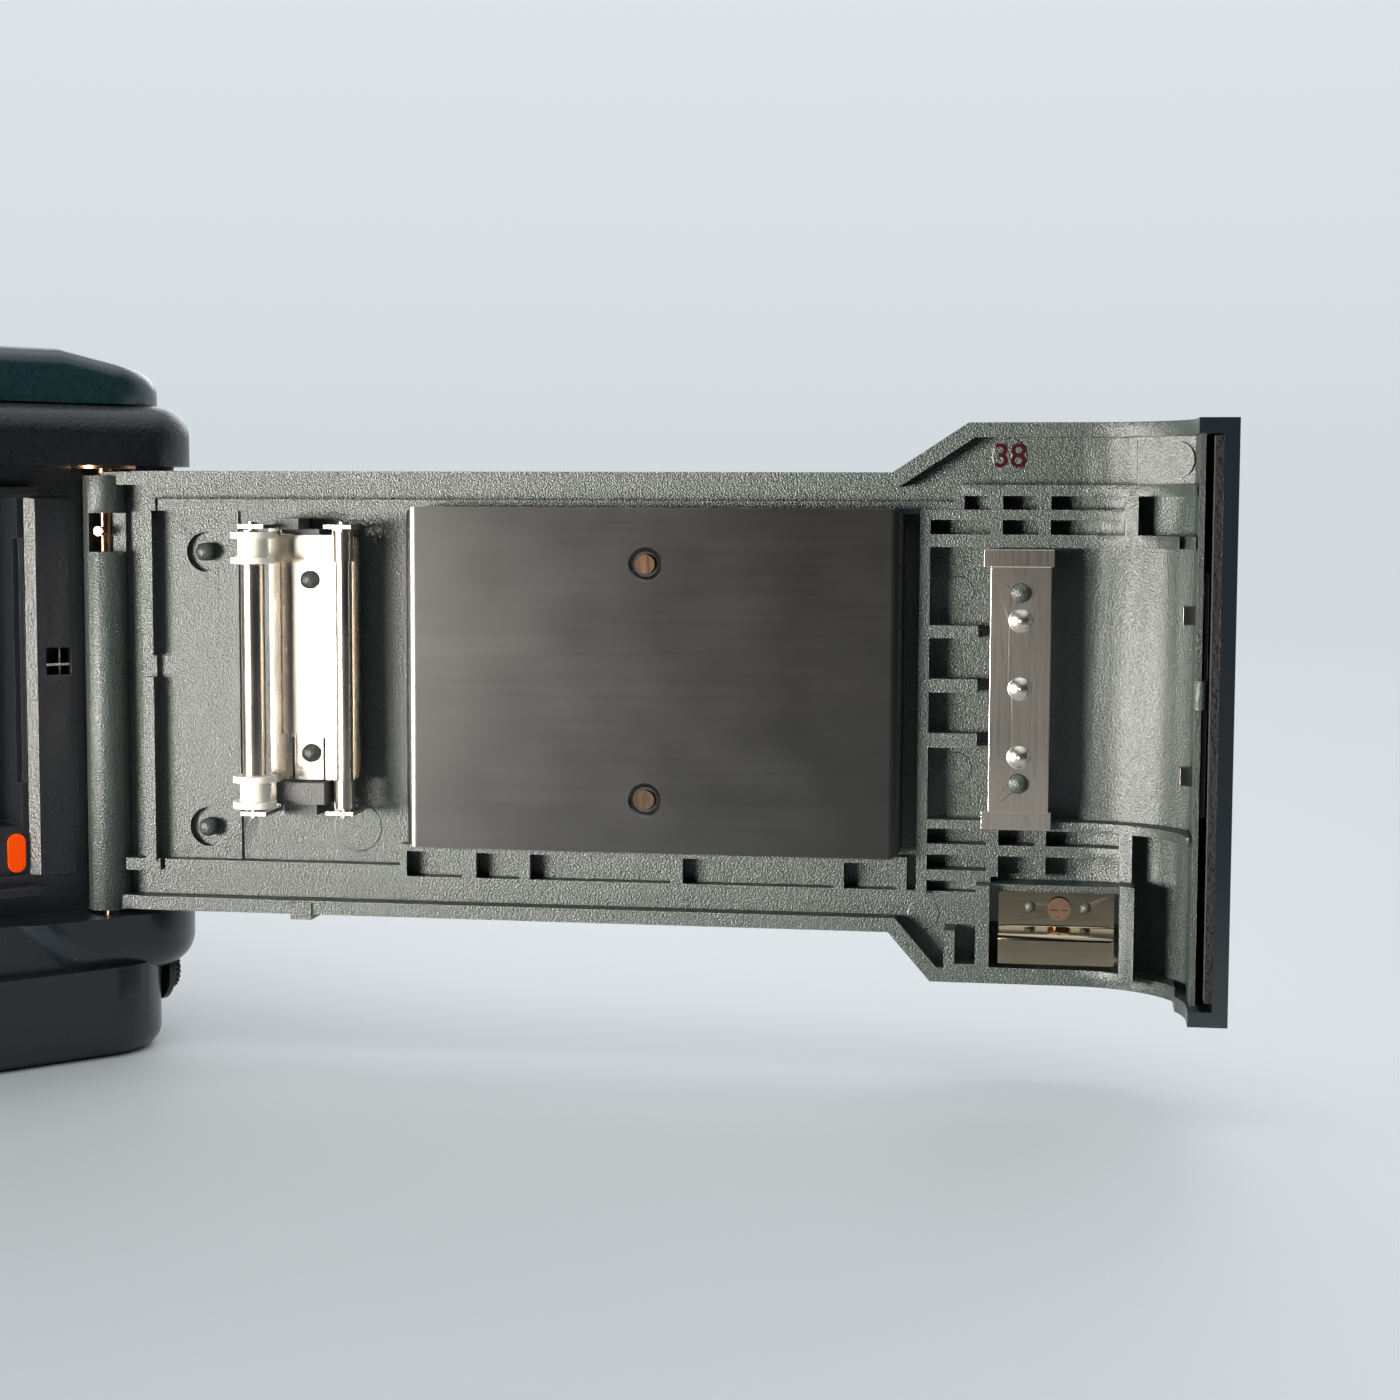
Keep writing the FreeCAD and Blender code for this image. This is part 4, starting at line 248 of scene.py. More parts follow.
# Moulded and painted surfaces: grain, slow tone change, worn edges and a little dust
grainFinishes = {
    "doorPlastic": {
        "base": (0.008, 0.018, 0.018, 1), "light": (0.050, 0.060, 0.052, 1), "edge": (0.20, 0.20, 0.175, 1),
        "grain": 5200.0, "bump": 0.00008, "contrast": 2.4, "rough": (0.37, 0.46), "wear": 0.3, "dust": 0.2,
        "plain": {"Specular IOR Level": 0.9}},
    "topPaint": {
        "base": (0.008, 0.031, 0.036, 1), "light": (0.020, 0.060, 0.068, 1), "edge": (0.16, 0.24, 0.26, 1),
        "grain": 2600.0, "bump": 0.00002, "contrast": 1.4, "rough": (0.28, 0.4), "wear": 0.35, "dust": 0.5,
        "plain": {"Coat Weight": 0.35, "Coat Roughness": 0.15}},
    "bodyGrain": {
        "base": (0.008, 0.011, 0.013, 1), "light": (0.018, 0.023, 0.026, 1), "edge": (0.10, 0.11, 0.115, 1),
        "grain": 2400.0, "bump": 0.00008, "contrast": 1.0, "rough": (0.30, 0.42), "wear": 0.3, "dust": 0.4,
        "plain": {"Specular IOR Level": 0.4, "Coat Weight": 0.2, "Coat Roughness": 0.14}},
    "baseSatin": {
        "base": (0.006, 0.010, 0.014, 1), "light": (0.012, 0.018, 0.024, 1), "edge": (0.1, 0.13, 0.15, 1),
        "grain": 3600.0, "bump": 0.00003, "contrast": 0.8, "rough": (0.30, 0.40), "wear": 0.3, "dust": 0.4,
        "plain": {"Coat Weight": 0.3, "Coat Roughness": 0.16}},
    "gripRubber": {
        "base": (0.018, 0.018, 0.019, 1), "light": (0.035, 0.035, 0.036, 1), "edge": (0.07, 0.07, 0.07, 1),
        "grain": 1100.0, "bump": 0.0003, "contrast": 0.8, "rough": (0.6, 0.75), "wear": 0.15, "dust": 0.5,
        "plain": {}},
    "castingBlack": {
        "base": (0.004, 0.005, 0.009, 1), "light": (0.010, 0.012, 0.018, 1), "edge": (0.2, 0.2, 0.18, 1),
        "grain": 3200.0, "bump": 0.00006, "contrast": 0.8, "rough": (0.38, 0.5), "wear": 0.5, "dust": 0.5,
        "plain": {"Specular IOR Level": 0.9}},
    "blockPlastic": {
        "base": (0.022, 0.025, 0.027, 1), "light": (0.05, 0.053, 0.055, 1), "edge": (0.16, 0.16, 0.15, 1),
        "grain": 4600.0, "bump": 0.00004, "contrast": 1.4, "rough": (0.42, 0.54), "wear": 0.3, "dust": 0.2,
        "plain": {"Specular IOR Level": 0.7}},
    # the orange index mark also glows faintly: painted light that makes it brighter than the lamps alone would
    "glowingMarkOrange": {
        "base": (1.0, 0.08, 0.0, 1), "light": (1.0, 0.11, 0.0, 1), "edge": (1.0, 0.3, 0.08, 1),
        "grain": 2500.0, "bump": 0.00003, "contrast": 0.5, "rough": (0.5, 0.6), "wear": 0.1, "dust": 0.1,
        "plain": {"Specular IOR Level": 0.15, "Emission Color": (1.0, 0.06, 0.0, 1),
                  "Emission Strength": 0.35}},
    "stampRed": {
        "base": (0.020, 0.002, 0.004, 1), "light": (0.040, 0.004, 0.008, 1), "edge": (0.12, 0.05, 0.05, 1),
        "grain": 2500.0, "bump": 0.00003, "contrast": 0.5, "rough": (0.5, 0.6), "wear": 0.0, "dust": 0.0,
        "plain": {"Specular IOR Level": 0.08}},
    "nylonWhite": {
        "base": (0.80, 0.77, 0.68, 1), "light": (0.88, 0.86, 0.78, 1), "edge": (0.95, 0.94, 0.9, 1),
        "grain": 900.0, "bump": 0.00002, "contrast": 0.4, "rough": (0.3, 0.42), "wear": 0.2, "dust": 0.0,
        "plain": {"Subsurface Weight": 0.25, "Subsurface Scale": 0.001}},
    "knobBlack": {
        "base": (0.02, 0.021, 0.023, 1), "light": (0.04, 0.042, 0.045, 1), "edge": (0.3, 0.3, 0.29, 1),
        "grain": 2600.0, "bump": 0.00003, "contrast": 0.8, "rough": (0.3, 0.42), "wear": 0.6, "dust": 0.3,
        "plain": {}},
    "dialBlack": {
        "base": (0.02, 0.02, 0.022, 1), "light": (0.04, 0.04, 0.043, 1), "edge": (0.14, 0.14, 0.14, 1),
        "grain": 2400.0, "bump": 0.00005, "contrast": 0.8, "rough": (0.4, 0.52), "wear": 0.35, "dust": 0.4,
        "plain": {}},
    "feltBlack": {
        "base": (0.004, 0.004, 0.005, 1), "light": (0.014, 0.014, 0.014, 1), "edge": (0.05, 0.05, 0.05, 1),
        "grain": 2000.0, "bump": 0.0005, "contrast": 1.2, "rough": (0.9, 1.0), "wear": 0.0, "dust": 0.4,
        "plain": {"Sheen Weight": 0.08}},
    "batterySkin": {
        "base": (0.05, 0.055, 0.065, 1), "light": (0.08, 0.09, 0.1, 1), "edge": (0.3, 0.3, 0.3, 1),
        "grain": 2000.0, "bump": 0.00001, "contrast": 0.3, "rough": (0.25, 0.35), "wear": 0.2, "dust": 0.1,
        "plain": {}},
    "spoolBlack": {
        "base": (0.014, 0.014, 0.016, 1), "light": (0.03, 0.03, 0.033, 1), "edge": (0.12, 0.12, 0.12, 1),
        "grain": 2800.0, "bump": 0.00003, "contrast": 0.6, "rough": (0.25, 0.4), "wear": 0.4, "dust": 0.4,
        "plain": {}},
    "curtainBlack": {
        "base": (0.012, 0.012, 0.014, 1), "light": (0.022, 0.022, 0.025, 1), "edge": (0.1, 0.1, 0.1, 1),
        "grain": 3600.0, "bump": 0.00002, "contrast": 0.5, "rough": (0.4, 0.5), "wear": 0.2, "dust": 0.2,
        "plain": {}},
    "screenGround": {
        "base": (0.55, 0.57, 0.56, 1), "light": (0.65, 0.67, 0.66, 1), "edge": (0.8, 0.8, 0.8, 1),
        "grain": 4000.0, "bump": 0.00003, "contrast": 0.4, "rough": (0.6, 0.7), "wear": 0.1, "dust": 0.0,
        "plain": {}},
}
grainBlend = {
    "patchShare": 0.5, "toneShift": 0.25, "colorRange": (0.15, 0.85), "toneRange": (0.2, 0.8),
    "wearReach": 0.00018, "lint": (0.5, 0.5, 0.48, 1), "bumpStrength": 1.0,
}


def makeGrainFinish(name, p, q):
    material = bpy.data.materials.new(name)
    tree, shader = newTree(material)
    grain = useGroup(tree, mouldGrain, Size=p["grain"], Contrast=p["contrast"])
    wear = useGroup(tree, edgeWear, Reach=q["wearReach"], Amount=p["wear"])
    lint = useGroup(tree, dust, Amount=p["dust"])
    slow = doMath(tree, "MULTIPLY", grain.outputs["Patch"], q["patchShare"])
    blendIn = doMath(tree, "ADD", slow, doMath(tree, "SUBTRACT", grain.outputs["Tone"], q["toneShift"]))
    color = mixColor(tree, mapRange(tree, blendIn, *q["colorRange"]), p["base"], p["light"])
    color = mixColor(tree, wear.outputs["Mask"], color, p["edge"])
    color = mixColor(tree, lint.outputs["Mask"], color, q["lint"])
    tree.links.new(color, shader.inputs["Base Color"])
    rough = mapRange(tree, grain.outputs["Tone"], *q["toneRange"], *p["rough"])
    tree.links.new(rough, shader.inputs["Roughness"])
    bump = addNode(tree, "ShaderNodeBump", {"Strength": q["bumpStrength"], "Distance": p["bump"],
                                            "Height": grain.outputs["Height"]})
    tree.links.new(bump.outputs["Normal"], shader.inputs["Normal"])
    setPlain(shader, p["plain"])
    return material


# The door stands open, and its measures run from the hinge (u), off the inner face (d) and up (z), in mm
doorShape = {
    "hinge": (65.2, -17.2), "along": (0.68455, -0.72897), "inward": (-0.72897, -0.68455), "floor": -0.7,
    "curveStart": 112.4, "curveCentre": 13.3, "outerRadius": 15.3, "innerRadius": 14.0, "tip": 16.15,
    "endWall": 125.1, "seams": (34.2, 115.7), "seamEdge": (0.10, 0.05), "seamDepth": 0.6,
    "paint": (0.009, 0.013, 0.016, 1), "paintRough": 0.22,
}


def addDoorPaint(material, p):
    # satin paint on the outer skin, and faint mould seams on the inner face
    tree = material.node_tree
    shader = tree.nodes["Principled BSDF"]
    spot = objectPlace(tree)

    def measure(axis):
        dot = doVector(tree, "DOT_PRODUCT", spot, Vector(axis + (0.0,)) / mm)
        return doMath(tree, "SUBTRACT", dot.outputs["Value"], Vector(axis).dot(Vector(p["hinge"])))

    def squared(value):
        return doMath(tree, "MULTIPLY", value, value)

    u, d = measure(p["along"]), measure(p["inward"])
    bendU = doMath(tree, "MAXIMUM", doMath(tree, "SUBTRACT", u, p["curveStart"]), 0.0)
    bendD = doMath(tree, "MINIMUM", doMath(tree, "SUBTRACT", d, p["curveCentre"]), 0.0)
    radius = doMath(tree, "SQRT", doMath(tree, "ADD", squared(bendU), squared(bendD)))
    outside = doMath(tree, "GREATER_THAN", radius, p["outerRadius"])
    for reached in (doMath(tree, "GREATER_THAN", u, p["endWall"]), doMath(tree, "GREATER_THAN", d, p["tip"])):
        outside = doMath(tree, "MAXIMUM", outside, reached)
    color = shader.inputs["Base Color"].links[0].from_socket
    for seam in p["seams"]:
        gap = doMath(tree, "ABSOLUTE", doMath(tree, "SUBTRACT", u, seam))
        color = mixColor(tree, mapRange(tree, gap, *p["seamEdge"], 0.0, p["seamDepth"]), color, p["paint"])
    tree.links.new(mixColor(tree, outside, color, p["paint"]), shader.inputs["Base Color"])
    rough = shader.inputs["Roughness"].links[0].from_socket
    blend = addNode(tree, "ShaderNodeMix", {0: outside, 2: rough, 3: p["paintRough"]})
    tree.links.new(blend.outputs[0], shader.inputs["Roughness"])
    bump = shader.inputs["Normal"].links[0].from_node
    height = bump.inputs["Height"].links[0].from_socket
    grained = doMath(tree, "SUBTRACT", 1.0, outside)
    tree.links.new(doMath(tree, "MULTIPLY", height, grained), bump.inputs["Height"])


# Bare and plated metals: hairlines, smears and bright edges
metalFinishes = {
    "railSteel": {"base": (0.5, 0.51, 0.52, 1), "dull": (0.36, 0.37, 0.38, 1), "along": (1.5, 30.0, 30.0),
                  "fine": 60.0, "rough": (0.2, 0.34), "bump": 0.00001},
    "contactGold": {"base": (0.85, 0.6, 0.28, 1), "dull": (0.6, 0.4, 0.2, 1), "along": (8.0, 8.0, 8.0),
                    "fine": 80.0, "rough": (0.15, 0.3), "bump": 0.00001},
    "pinCopper": {"base": (0.70, 0.42, 0.28, 1), "dull": (0.48, 0.26, 0.16, 1), "along": (20.0, 20.0, 2.0),
                  "fine": 80.0, "rough": (0.14, 0.3), "bump": 0.00001},
    "nickelBright": {"base": (0.80, 0.74, 0.67, 1), "dull": (0.68, 0.60, 0.52, 1), "along": (18.0, 18.0, 1.5),
                     "fine": 70.0, "rough": (0.2, 0.32), "bump": 0.000006},
    "springSteel": {"base": (0.68, 0.64, 0.57, 1), "dull": (0.56, 0.52, 0.46, 1), "along": (40.0, 40.0, 1.0),
                    "fine": 120.0, "rough": (0.26, 0.34), "bump": 0.000006},
    "clipBronze": {"base": (0.36, 0.30, 0.21, 1), "dull": (0.26, 0.215, 0.15, 1), "along": (2.0, 2.0, 8.0),
                   "fine": 60.0, "rough": (0.10, 0.17), "bump": 0.000006},
    "shoeSteel": {"base": (0.5, 0.5, 0.5, 1), "dull": (0.36, 0.36, 0.36, 1), "along": (30.0, 2.0, 30.0),
                  "fine": 70.0, "rough": (0.25, 0.4), "bump": 0.00001},
    "mountSteel": {"base": (0.62, 0.62, 0.62, 1), "dull": (0.48, 0.48, 0.48, 1), "along": (10.0, 10.0, 10.0),
                   "fine": 70.0, "rough": (0.2, 0.34), "bump": 0.00001},
}
metalBlend = {
    "smearShare": 0.5, "colorRange": (0.35, 0.65), "roughRange": (0.3, 0.7), "wearReach": 0.00015,
    "wearAmount": 0.4, "brighter": 1.25, "bumpStrength": 0.6,
}


def makeMetalFinish(name, p, q):
    material = bpy.data.materials.new(name)
    tree, shader = newTree(material)
    lines = useGroup(tree, brushing, Along=p["along"], Fineness=p["fine"])
    wear = useGroup(tree, edgeWear, Reach=q["wearReach"], Amount=q["wearAmount"])
    both = doMath(tree, "ADD", lines.outputs["Line"], lines.outputs["Smear"])
    blendIn = doMath(tree, "MULTIPLY", both, q["smearShare"])
    color = mixColor(tree, mapRange(tree, blendIn, *q["colorRange"]), p["dull"], p["base"])
    bright = tuple(min(1.0, c * q["brighter"]) for c in p["base"][:3]) + (1,)
    color = mixColor(tree, wear.outputs["Mask"], color, bright)
    tree.links.new(color, shader.inputs["Base Color"])
    smooth, coarse = p["rough"]
    tree.links.new(mapRange(tree, blendIn, *q["roughRange"], coarse, smooth), shader.inputs["Roughness"])
    bump = addNode(tree, "ShaderNodeBump", {"Strength": q["bumpStrength"], "Distance": p["bump"],
                                            "Height": lines.outputs["Line"]})
    tree.links.new(bump.outputs["Normal"], shader.inputs["Normal"])
    setPlain(shader, {"Metallic": 1.0})
    return material


# Glass, mirror, lacquered plate and display, each with faint smears
wiped = {"along": (3.0, 3.0, 3.0), "fineness": 40.0, "smearRange": (0.3, 0.7)}
glassFinishes = {
    "lensGlass": {"tint": (0.86, 0.9, 0.95, 1), "rough": (0.02, 0.07), "index": 1.52, "coat": 0.3},
    "prismGlass": {"tint": (0.93, 0.96, 0.97, 1), "rough": (0.03, 0.08), "index": 1.52, "coat": 0.3},
}
mirrorLook = {
    "bright": (0.86, 0.88, 0.9, 1), "dull": (0.78, 0.8, 0.82, 1), "colorRange": (0.3, 0.8),
    "rough": (0.02, 0.06),
}
plateLook = {
    "along": (1.0, 1.0, 25.0), "fineness": 60.0, "range": (0.3, 0.7),
    "wearReach": 0.00025, "wearAmount": 0.35,
    "base": (0.002, 0.002, 0.002, 1), "rubbed": (0.005, 0.005, 0.005, 1), "edge": (0.16, 0.155, 0.14, 1),
    "rough": (0.285, 0.305), "lineRough": 0.015, "plain": {"IOR": 1.6, "Specular IOR Level": 0.75},
}
displayLook = {
    "grain": 900.0, "contrast": 0.4, "dark": (0.16, 0.18, 0.16, 1), "pale": (0.2, 0.22, 0.2, 1),
    "range": (0.3, 0.7), "rough": (0.06, 0.14), "plain": {"Coat Weight": 1.0, "Coat Roughness": 0.03},
}


def makeGlass(name, p, q):
    material = bpy.data.materials.new(name)
    tree, shader = newTree(material)
    smear = useGroup(tree, brushing, Along=q["along"], Fineness=q["fineness"]).outputs["Smear"]
    tree.links.new(mapRange(tree, smear, *q["smearRange"], *p["rough"]), shader.inputs["Roughness"])
    setPlain(shader, {"Base Color": p["tint"], "Transmission Weight": 1.0, "IOR": p["index"],
                      "Coat Weight": p["coat"]})
    return material


def makeMirror(name, p, q):
    material = bpy.data.materials.new(name)
    tree, shader = newTree(material)
    smear = useGroup(tree, brushing, Along=q["along"], Fineness=q["fineness"]).outputs["Smear"]
    color = mixColor(tree, mapRange(tree, smear, *p["colorRange"]), p["bright"], p["dull"])
    tree.links.new(color, shader.inputs["Base Color"])
    tree.links.new(mapRange(tree, smear, *q["smearRange"], *p["rough"]), shader.inputs["Roughness"])
    setPlain(shader, {"Metallic": 1.0})
    return material


def makeBlackPlate(name, p):
    # smooth black lacquer on steel, with faint rubbed marks
    material = bpy.data.materials.new(name)
    tree, shader = newTree(material)
    rub = useGroup(tree, brushing, Along=p["along"], Fineness=p["fineness"])
    wear = useGroup(tree, edgeWear, Reach=p["wearReach"], Amount=p["wearAmount"])
    color = mixColor(tree, mapRange(tree, rub.outputs["Smear"], *p["range"]), p["base"], p["rubbed"])
    tree.links.new(mixColor(tree, wear.outputs["Mask"], color, p["edge"]), shader.inputs["Base Color"])
    blur = mapRange(tree, rub.outputs["Smear"], *p["range"], *p["rough"])
    scratched = mapRange(tree, rub.outputs["Line"], *p["range"], 0.0, p["lineRough"])
    tree.links.new(doMath(tree, "ADD", blur, scratched), shader.inputs["Roughness"])
    setPlain(shader, p["plain"])
    return material


def makeDisplay(name, p):
    # dead liquid crystal display under a clear window
    material = bpy.data.materials.new(name)
    tree, shader = newTree(material)
    patch = useGroup(tree, mouldGrain, Size=p["grain"], Contrast=p["contrast"]).outputs["Patch"]
    tree.links.new(mixColor(tree, patch, p["dark"], p["pale"]), shader.inputs["Base Color"])
    tree.links.new(mapRange(tree, patch, *p["range"], *p["rough"]), shader.inputs["Roughness"])
    setPlain(shader, p["plain"])
    return material


finishes = {name: makeGrainFinish(name, p, grainBlend) for name, p in grainFinishes.items()}
finishes.update({name: makeMetalFinish(name, p, metalBlend) for name, p in metalFinishes.items()})
finishes["plateBlack"] = makeBlackPlate("plateBlack", plateLook)
finishes.update({name: makeGlass(name, p, wiped) for name, p in glassFinishes.items()})
finishes["mirrorSilver"] = makeMirror("mirrorSilver", mirrorLook, wiped)
finishes["displayGrey"] = makeDisplay("displayGrey", displayLook)
addDoorPaint(finishes["doorPlastic"], doorShape)
print("finishes made:", len(finishes))

# Which finish each solid gets
finishOfSlot = {
    "door_plastic": "doorPlastic", "top_paint": "topPaint", "body_grain": "bodyGrain",
    "base_satin": "baseSatin", "grip_rubber": "gripRubber", "casting_black": "castingBlack",
    "rail_steel": "railSteel", "mark_orange": "glowingMarkOrange", "contact_gold": "contactGold",
    "pin_copper": "pinCopper", "nickel": "nickelBright", "spring_steel": "springSteel",
    "plate_black": "plateBlack", "nylon_white": "nylonWhite", "knob_black": "knobBlack",
    "felt": "feltBlack", "lcd": "displayGrey", "dial_black": "dialBlack",
    "shoe_steel": "shoeSteel", "mount_steel": "mountSteel", "lens_glass": "lensGlass",
    "prism_glass": "prismGlass", "screen": "screenGround", "mirror_silver": "mirrorSilver",
    "curtain": "curtainBlack", "battery_skin": "batterySkin", "spool_black": "spoolBlack",
}
slotOfNode = {entry["node"]: entry["material_slot"] for entry in frame["record"]["subparts"]}
finishOfNode = {
    "bracket_blocks": "blockPlastic", "back_contact": "nickelBright", "cartridge_clip": "clipBronze",
    "clip_screw": "pinCopper",
}
for name, node in nodes.items():
    node.data.materials.clear()
    node.data.materials.append(finishes[finishOfNode.get(name, finishOfSlot[slotOfNode[name]])])

# Softened edges on the moulded and machined solids, widths in mm
edgeBreaks = {
    "back_door": 0.16, "body_casting": 0.12, "front_cover": 0.3, "base_cover": 0.25,
    "upper_cover": 0.2, "top_cover": 0.2, "grip_shell": 0.4, "eyecup": 0.4, "hot_shoe": 0.15,
    "roller_bracket": 0.12, "cartridge_clip": 0.08, "cartridge_spring": 0.07, "grip_screw": 0.1,
    "mode_dial": 0.15, "command_dial": 0.12, "bracket_blocks": 0.15, "latch_slide": 0.12,
    "lens_mount_ring": 0.15, "tripod_socket": 0.15, "strap_lugs": 0.2, "film_rails": 0.12,
}
edgeBreakRule = {"weld": 0.002, "segments": 2, "sharperThan": 32.0}


def softenEdges(node, width, p):
    weld = node.modifiers.new("weld", "WELD")
    weld.merge_threshold = p["weld"] * mm
    bevel = node.modifiers.new("edgeBreak", "BEVEL")
    bevel.width = width * mm
    bevel.segments = p["segments"]
    bevel.limit_method = "ANGLE"
    bevel.angle_limit = math.radians(p["sharperThan"])
    bevel.harden_normals = True


for name, width in edgeBreaks.items():
    softenEdges(nodes[name], width, edgeBreakRule)
print("edges softened:", len(edgeBreaks))

# Small moulded marks on the door's inner face: ejector pin rounds (u, z, radius) with painted shadow rims, and
# a plain cavity number
doorMarks = {
    "rounds": (
        (10.2, 52.1, 2.85), (10.2, 33.2, 2.85), (29.9, 59.7, 2.85), (30.2, 43.5, 2.65), (30.0, 27.0, 2.85),
        (98.9, 54.9, 1.8), (98.9, 35.3, 1.8), (122.2, 22.9, 1.75), (95.5, 18.8, 1.8), (104.4, 69.9, 1.95)),
    "sink": -0.1, "height": 0.06, "edge": 0.10, "lowShare": 0.4, "rimWidths": 3.0, "sides": 56,
    "number": "38", "numberAt": (104.4, 69.8), "numberSize": 3.7, "numberRise": 0.05, "numberBold": 0.03,
}


def doorPlace(u, z, p):
    # frame of axes on the inner face: right, up and outward
    bend = max(0.0, (u - p["curveStart"]) / p["innerRadius"])
    rise = math.sqrt(1.0 - bend * bend)
    depth = p["floor"] if bend == 0.0 else p["curveCentre"] - p["innerRadius"] * rise
    along, inward = Vector(p["along"] + (0.0,)), Vector(p["inward"] + (0.0,))
    normal = inward * rise - along * bend
    at = Vector(p["hinge"] + (0.0,)) + along * u + inward * depth + Vector((0, 0, z))
    up = Vector((0, 0, 1))
    return Matrix.Translation(at * mm) @ Matrix((up.cross(normal), up, normal)).transposed().to_4x4()


def makeRound(index, u, z, radius, p):
    # a low disc whose sloped rim gets the dark casting finish, a painted shadow line where the tiny step would
    # catch shade
    mesh = bpy.data.meshes.new("ejectorRound")
    shape = bmesh.new()
    turns = [2.0 * math.pi * k / p["sides"] for k in range(p["sides"])]
    profile = ((radius, p["sink"]), (radius, p["height"] * p["lowShare"]), (radius - p["edge"], p["height"]),
               (radius - p["rimWidths"] * p["edge"], p["height"]))
    rings = [[shape.verts.new((reach * mm * math.cos(a), reach * mm * math.sin(a), height * mm)) for a in turns]
             for reach, height in profile]
    for low, high in zip(rings, rings[1:]):
        for k in range(p["sides"]):
            after = (k + 1) % p["sides"]
            shape.faces.new((low[k], low[after], high[after], high[k]))
    shape.faces.new(rings[-1])
    shape.to_mesh(mesh)
    shape.free()
    piece = bpy.data.objects.new("ejector_round_%d" % index, mesh)
    bpy.context.scene.collection.objects.link(piece)
    mesh.transform(doorPlace(u, z, doorShape))
    mesh.materials.append(finishes["doorPlastic"])
    mesh.materials.append(finishes["castingBlack"])
    # the sloped rim faces take the dark casting finish: painted shade, not a real groove or colour
    for face in mesh.polygons[p["sides"]:2 * p["sides"]]:
        face.material_index = 1
    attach(piece, "door")


def makeNumber(p):
    words = bpy.data.curves.new("cavityNumber", "FONT")
    words.body = p["number"]
    words.size = p["numberSize"] * mm
    words.extrude = p["numberRise"] * mm
    words.offset = p["numberBold"] * mm
    words.align_x = words.align_y = "CENTER"
    letters = bpy.data.objects.new("cavityNumberDraft", words)
    bpy.context.scene.collection.objects.link(letters)
    bpy.context.view_layer.update()
    mesh = bpy.data.meshes.new_from_object(letters)
    bpy.data.objects.remove(letters)
    mesh.transform(doorPlace(*p["numberAt"], doorShape) @ Matrix.Translation((0, 0, p["height"] * mm)))
    mesh.materials.clear()
    mesh.materials.append(finishes["stampRed"])
    piece = bpy.data.objects.new("cavity_number", mesh)
    bpy.context.scene.collection.objects.link(piece)
    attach(piece, "door")


for index, (u, z, radius) in enumerate(doorMarks["rounds"], 1):
    makeRound(index, u, z, radius, doorMarks)
makeNumber(doorMarks)
print("door marks:", len(doorMarks["rounds"]) + 1)

# Pale floor that fades into the backdrop, and the dark room that only reflections see
studio = {
    "floorSize": 30.0, "floorColor": (0.80, 0.815, 0.82, 1), "floorRough": 0.6, "floorGloss": 0.3,
    "low": (0.64, 0.70, 0.73, 1), "high": (0.77, 0.82, 0.845, 1), "horizon": (0.0, 0.3),
    "fadeNear": 0.16, "fadeFar": 1.5, "dark": (0.010, 0.012, 0.016, 1),
    "ahead": (0.615, 0.784, 0.08), "turn": (-0.05, 0.45), "ceiling": (0.80, 0.97),
    "paperEdge": (0.11, 0.22), "paperFacing": (-0.30, -0.95), "aim": (0.145, -0.095, 0.05),
}
# Low window light along the door, broad ceiling light, and a soft light from the rear; sizes in metres
lights = {
    "windowLight": {"from": (-0.995, 0.075, -0.04), "distance": 0.33, "size": (0.13, 0.07), "power": 0.25,
                    "color": (1.0, 0.965, 0.88), "spread": 52.0},
    "ceilingLight": {"from": (0.0, -0.35, 1.0), "distance": 1.4, "size": (2.2, 2.2), "power": 14.5,
                     "color": (0.94, 0.975, 1.0), "spread": 180.0},
    "rearLight": {"from": (0.62, 0.70, 0.38), "distance": 1.1, "size": (0.7, 0.5), "power": 2.2,
                  "color": (0.93, 0.97, 1.0), "spread": 180.0},
}


def mixShader(tree, factor, a, b):
    return addNode(tree, "ShaderNodeMixShader", {0: factor, 1: a, 2: b}).outputs["Shader"]


def seenDirectly(tree):
    return addNode(tree, "ShaderNodeLightPath").outputs["Is Camera Ray"]


def makeFloor(p):
    bpy.ops.mesh.primitive_plane_add(size=p["floorSize"], location=(0, 0, 0))
    floor = bpy.context.object
    floor.name = "studioFloor"
    material = bpy.data.materials.new("studioFloor")
    tree, shader = newTree(material)
    paper = shader.outputs["BSDF"]
    setPlain(shader, {"Base Color": p["floorColor"], "Roughness": p["floorRough"],
                      "Specular IOR Level": p["floorGloss"]})
    far = addNode(tree, "ShaderNodeEmission", {"Color": p["low"], "Strength": 1.0}).outputs["Emission"]
    spot = addNode(tree, "ShaderNodeNewGeometry").outputs["Position"]
    reach = addNode(tree, "ShaderNodeVectorMath", {0: spot}, operation="LENGTH").outputs["Value"]
    away = mapRange(tree, doMath(tree, "DIVIDE", 1.0, reach), 1.0 / p["fadeNear"], 1.0 / p["fadeFar"])
    fading = mixShader(tree, away, paper, far)
    # Seen in reflections, the paper ends a little way in front of the camera and the room beyond is dark
    facing = Vector(p["paperFacing"] + (0.0,)).normalized()
    ahead = doVector(tree, "DOT_PRODUCT", spot, facing).outputs["Value"]
    room = addNode(tree, "ShaderNodeBsdfDiffuse", {"Color": p["dark"]}).outputs["BSDF"]
    mirrored = mixShader(tree, mapRange(tree, ahead, *p["paperEdge"]), paper, room)
    surface = mixShader(tree, seenDirectly(tree), mirrored, fading)
    tree.links.new(surface, tree.nodes["Material Output"].inputs["Surface"])
    floor.data.materials.append(material)


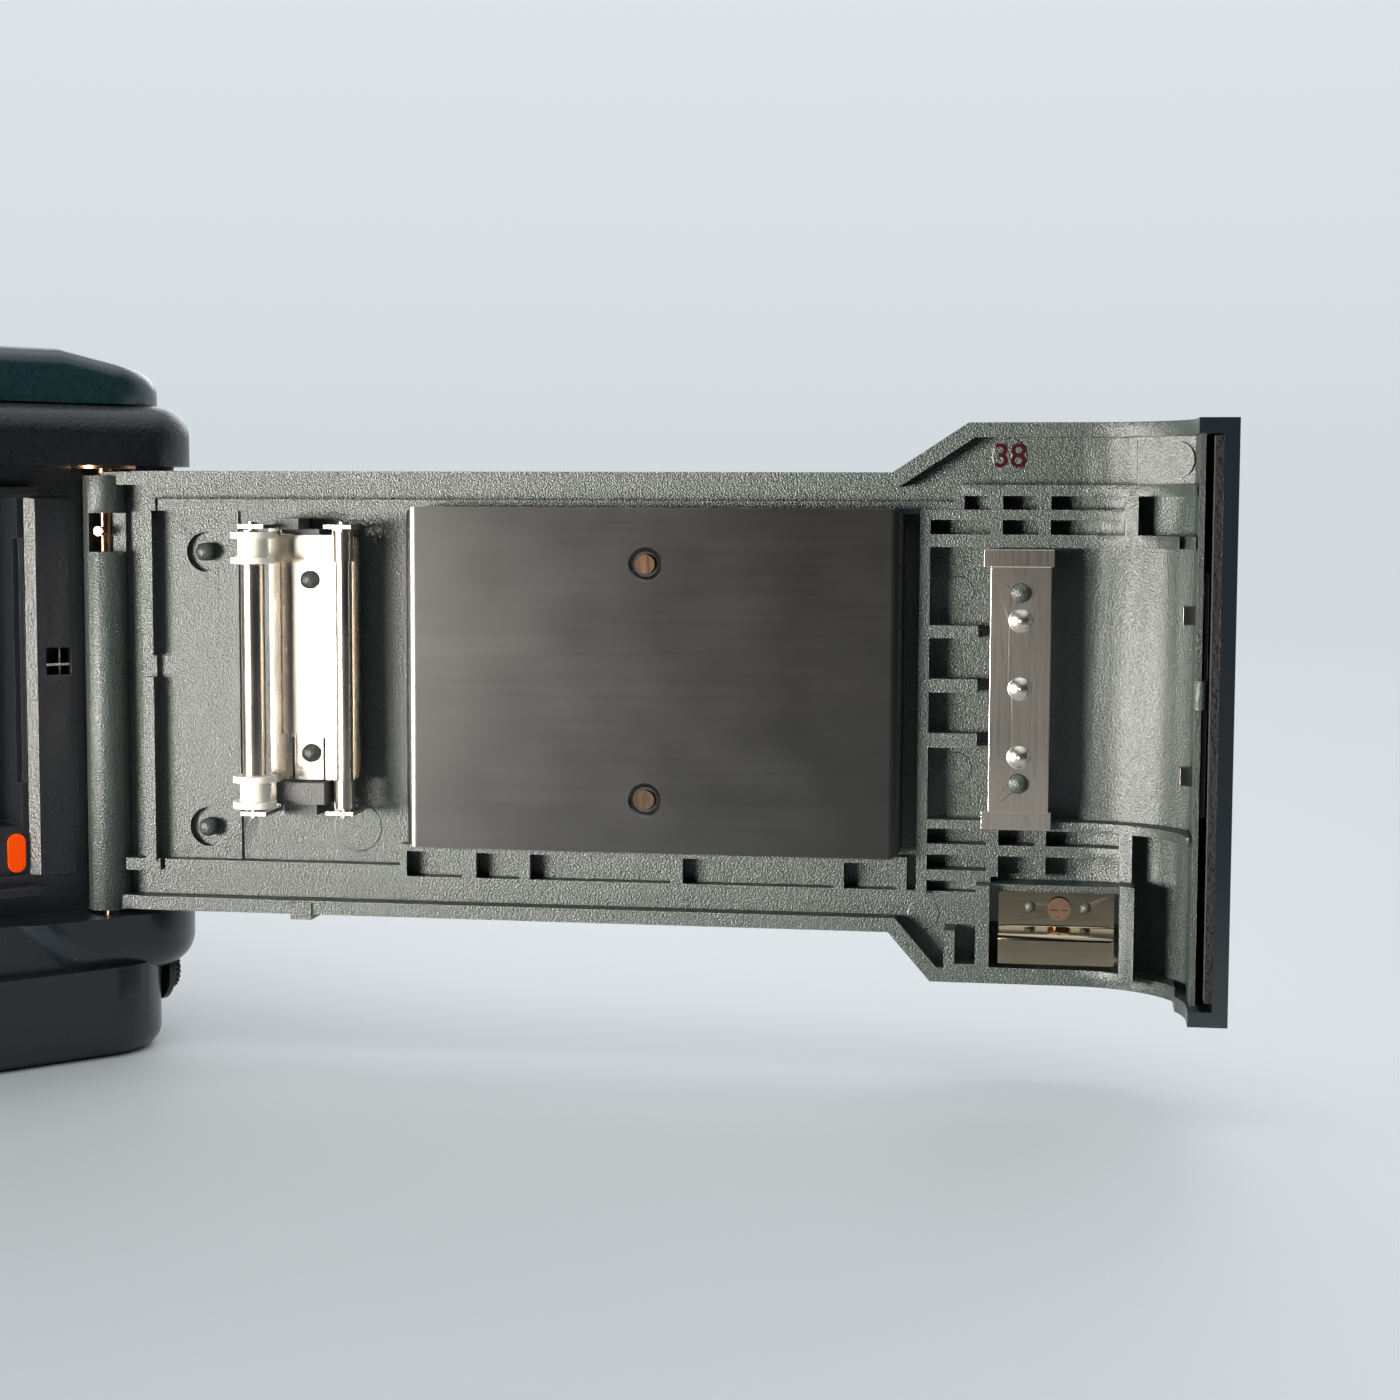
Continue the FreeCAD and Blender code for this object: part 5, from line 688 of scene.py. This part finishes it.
def makeArea(name, p, aim):
    data = bpy.data.lights.new(name, "AREA")
    data.shape = "RECTANGLE"
    data.size, data.size_y = p["size"]
    data.energy = p["power"]
    data.color = p["color"]
    data.spread = math.radians(p["spread"])
    lamp = bpy.data.objects.new(name, data)
    bpy.context.scene.collection.objects.link(lamp)
    towards = Vector(p["from"]).normalized()
    lamp.location = Vector(aim) + towards * p["distance"]
    lamp.visible_camera = False
    lamp.rotation_mode = "QUATERNION"
    lamp.rotation_quaternion = towards.to_track_quat("Z", "Y")
    return lamp


def shineOnPieces(lamp):
    # the near light leaves no pool on the paper
    lit = bpy.data.collections.new("litByWindow")
    for piece in bpy.data.objects:
        if piece.type == "MESH" and piece.name != "studioFloor":
            lit.objects.link(piece)
    lamp.light_linking.receiver_collection = lit


def makeWorld(p):
    world = bpy.data.worlds.new("studioWorld")
    bpy.context.scene.world = world
    world.use_nodes = True
    tree = world.node_tree
    tree.nodes.clear()
    out = tree.nodes.new("ShaderNodeOutputWorld")
    direction = addNode(tree, "ShaderNodeTexCoord").outputs["Generated"]
    height = addNode(tree, "ShaderNodeSeparateXYZ", {"Vector": direction}).outputs["Z"]
    rise = mixColor(tree, mapRange(tree, height, *p["horizon"]), p["low"], p["high"])
    seen = addNode(tree, "ShaderNodeBackground", {"Color": rise, "Strength": 1.0}).outputs["Background"]
    # What surfaces reflect: the pale backdrop ahead, and a dark room behind the camera
    side = doVector(tree, "DOT_PRODUCT", direction, Vector(p["ahead"]).normalized()).outputs["Value"]
    pale = doMath(tree, "MAXIMUM", mapRange(tree, height, *p["ceiling"]), mapRange(tree, side, *p["turn"]))
    glow = mixColor(tree, pale, p["dark"], rise)
    lit = addNode(tree, "ShaderNodeBackground", {"Color": glow, "Strength": 1.0}).outputs["Background"]
    tree.links.new(mixShader(tree, seenDirectly(tree), lit, seen), out.inputs["Surface"])


makeFloor(studio)
lamps = {name: makeArea(name, p, studio["aim"]) for name, p in lights.items()}
shineOnPieces(lamps["windowLight"])
makeWorld(studio)
print("studio ready")
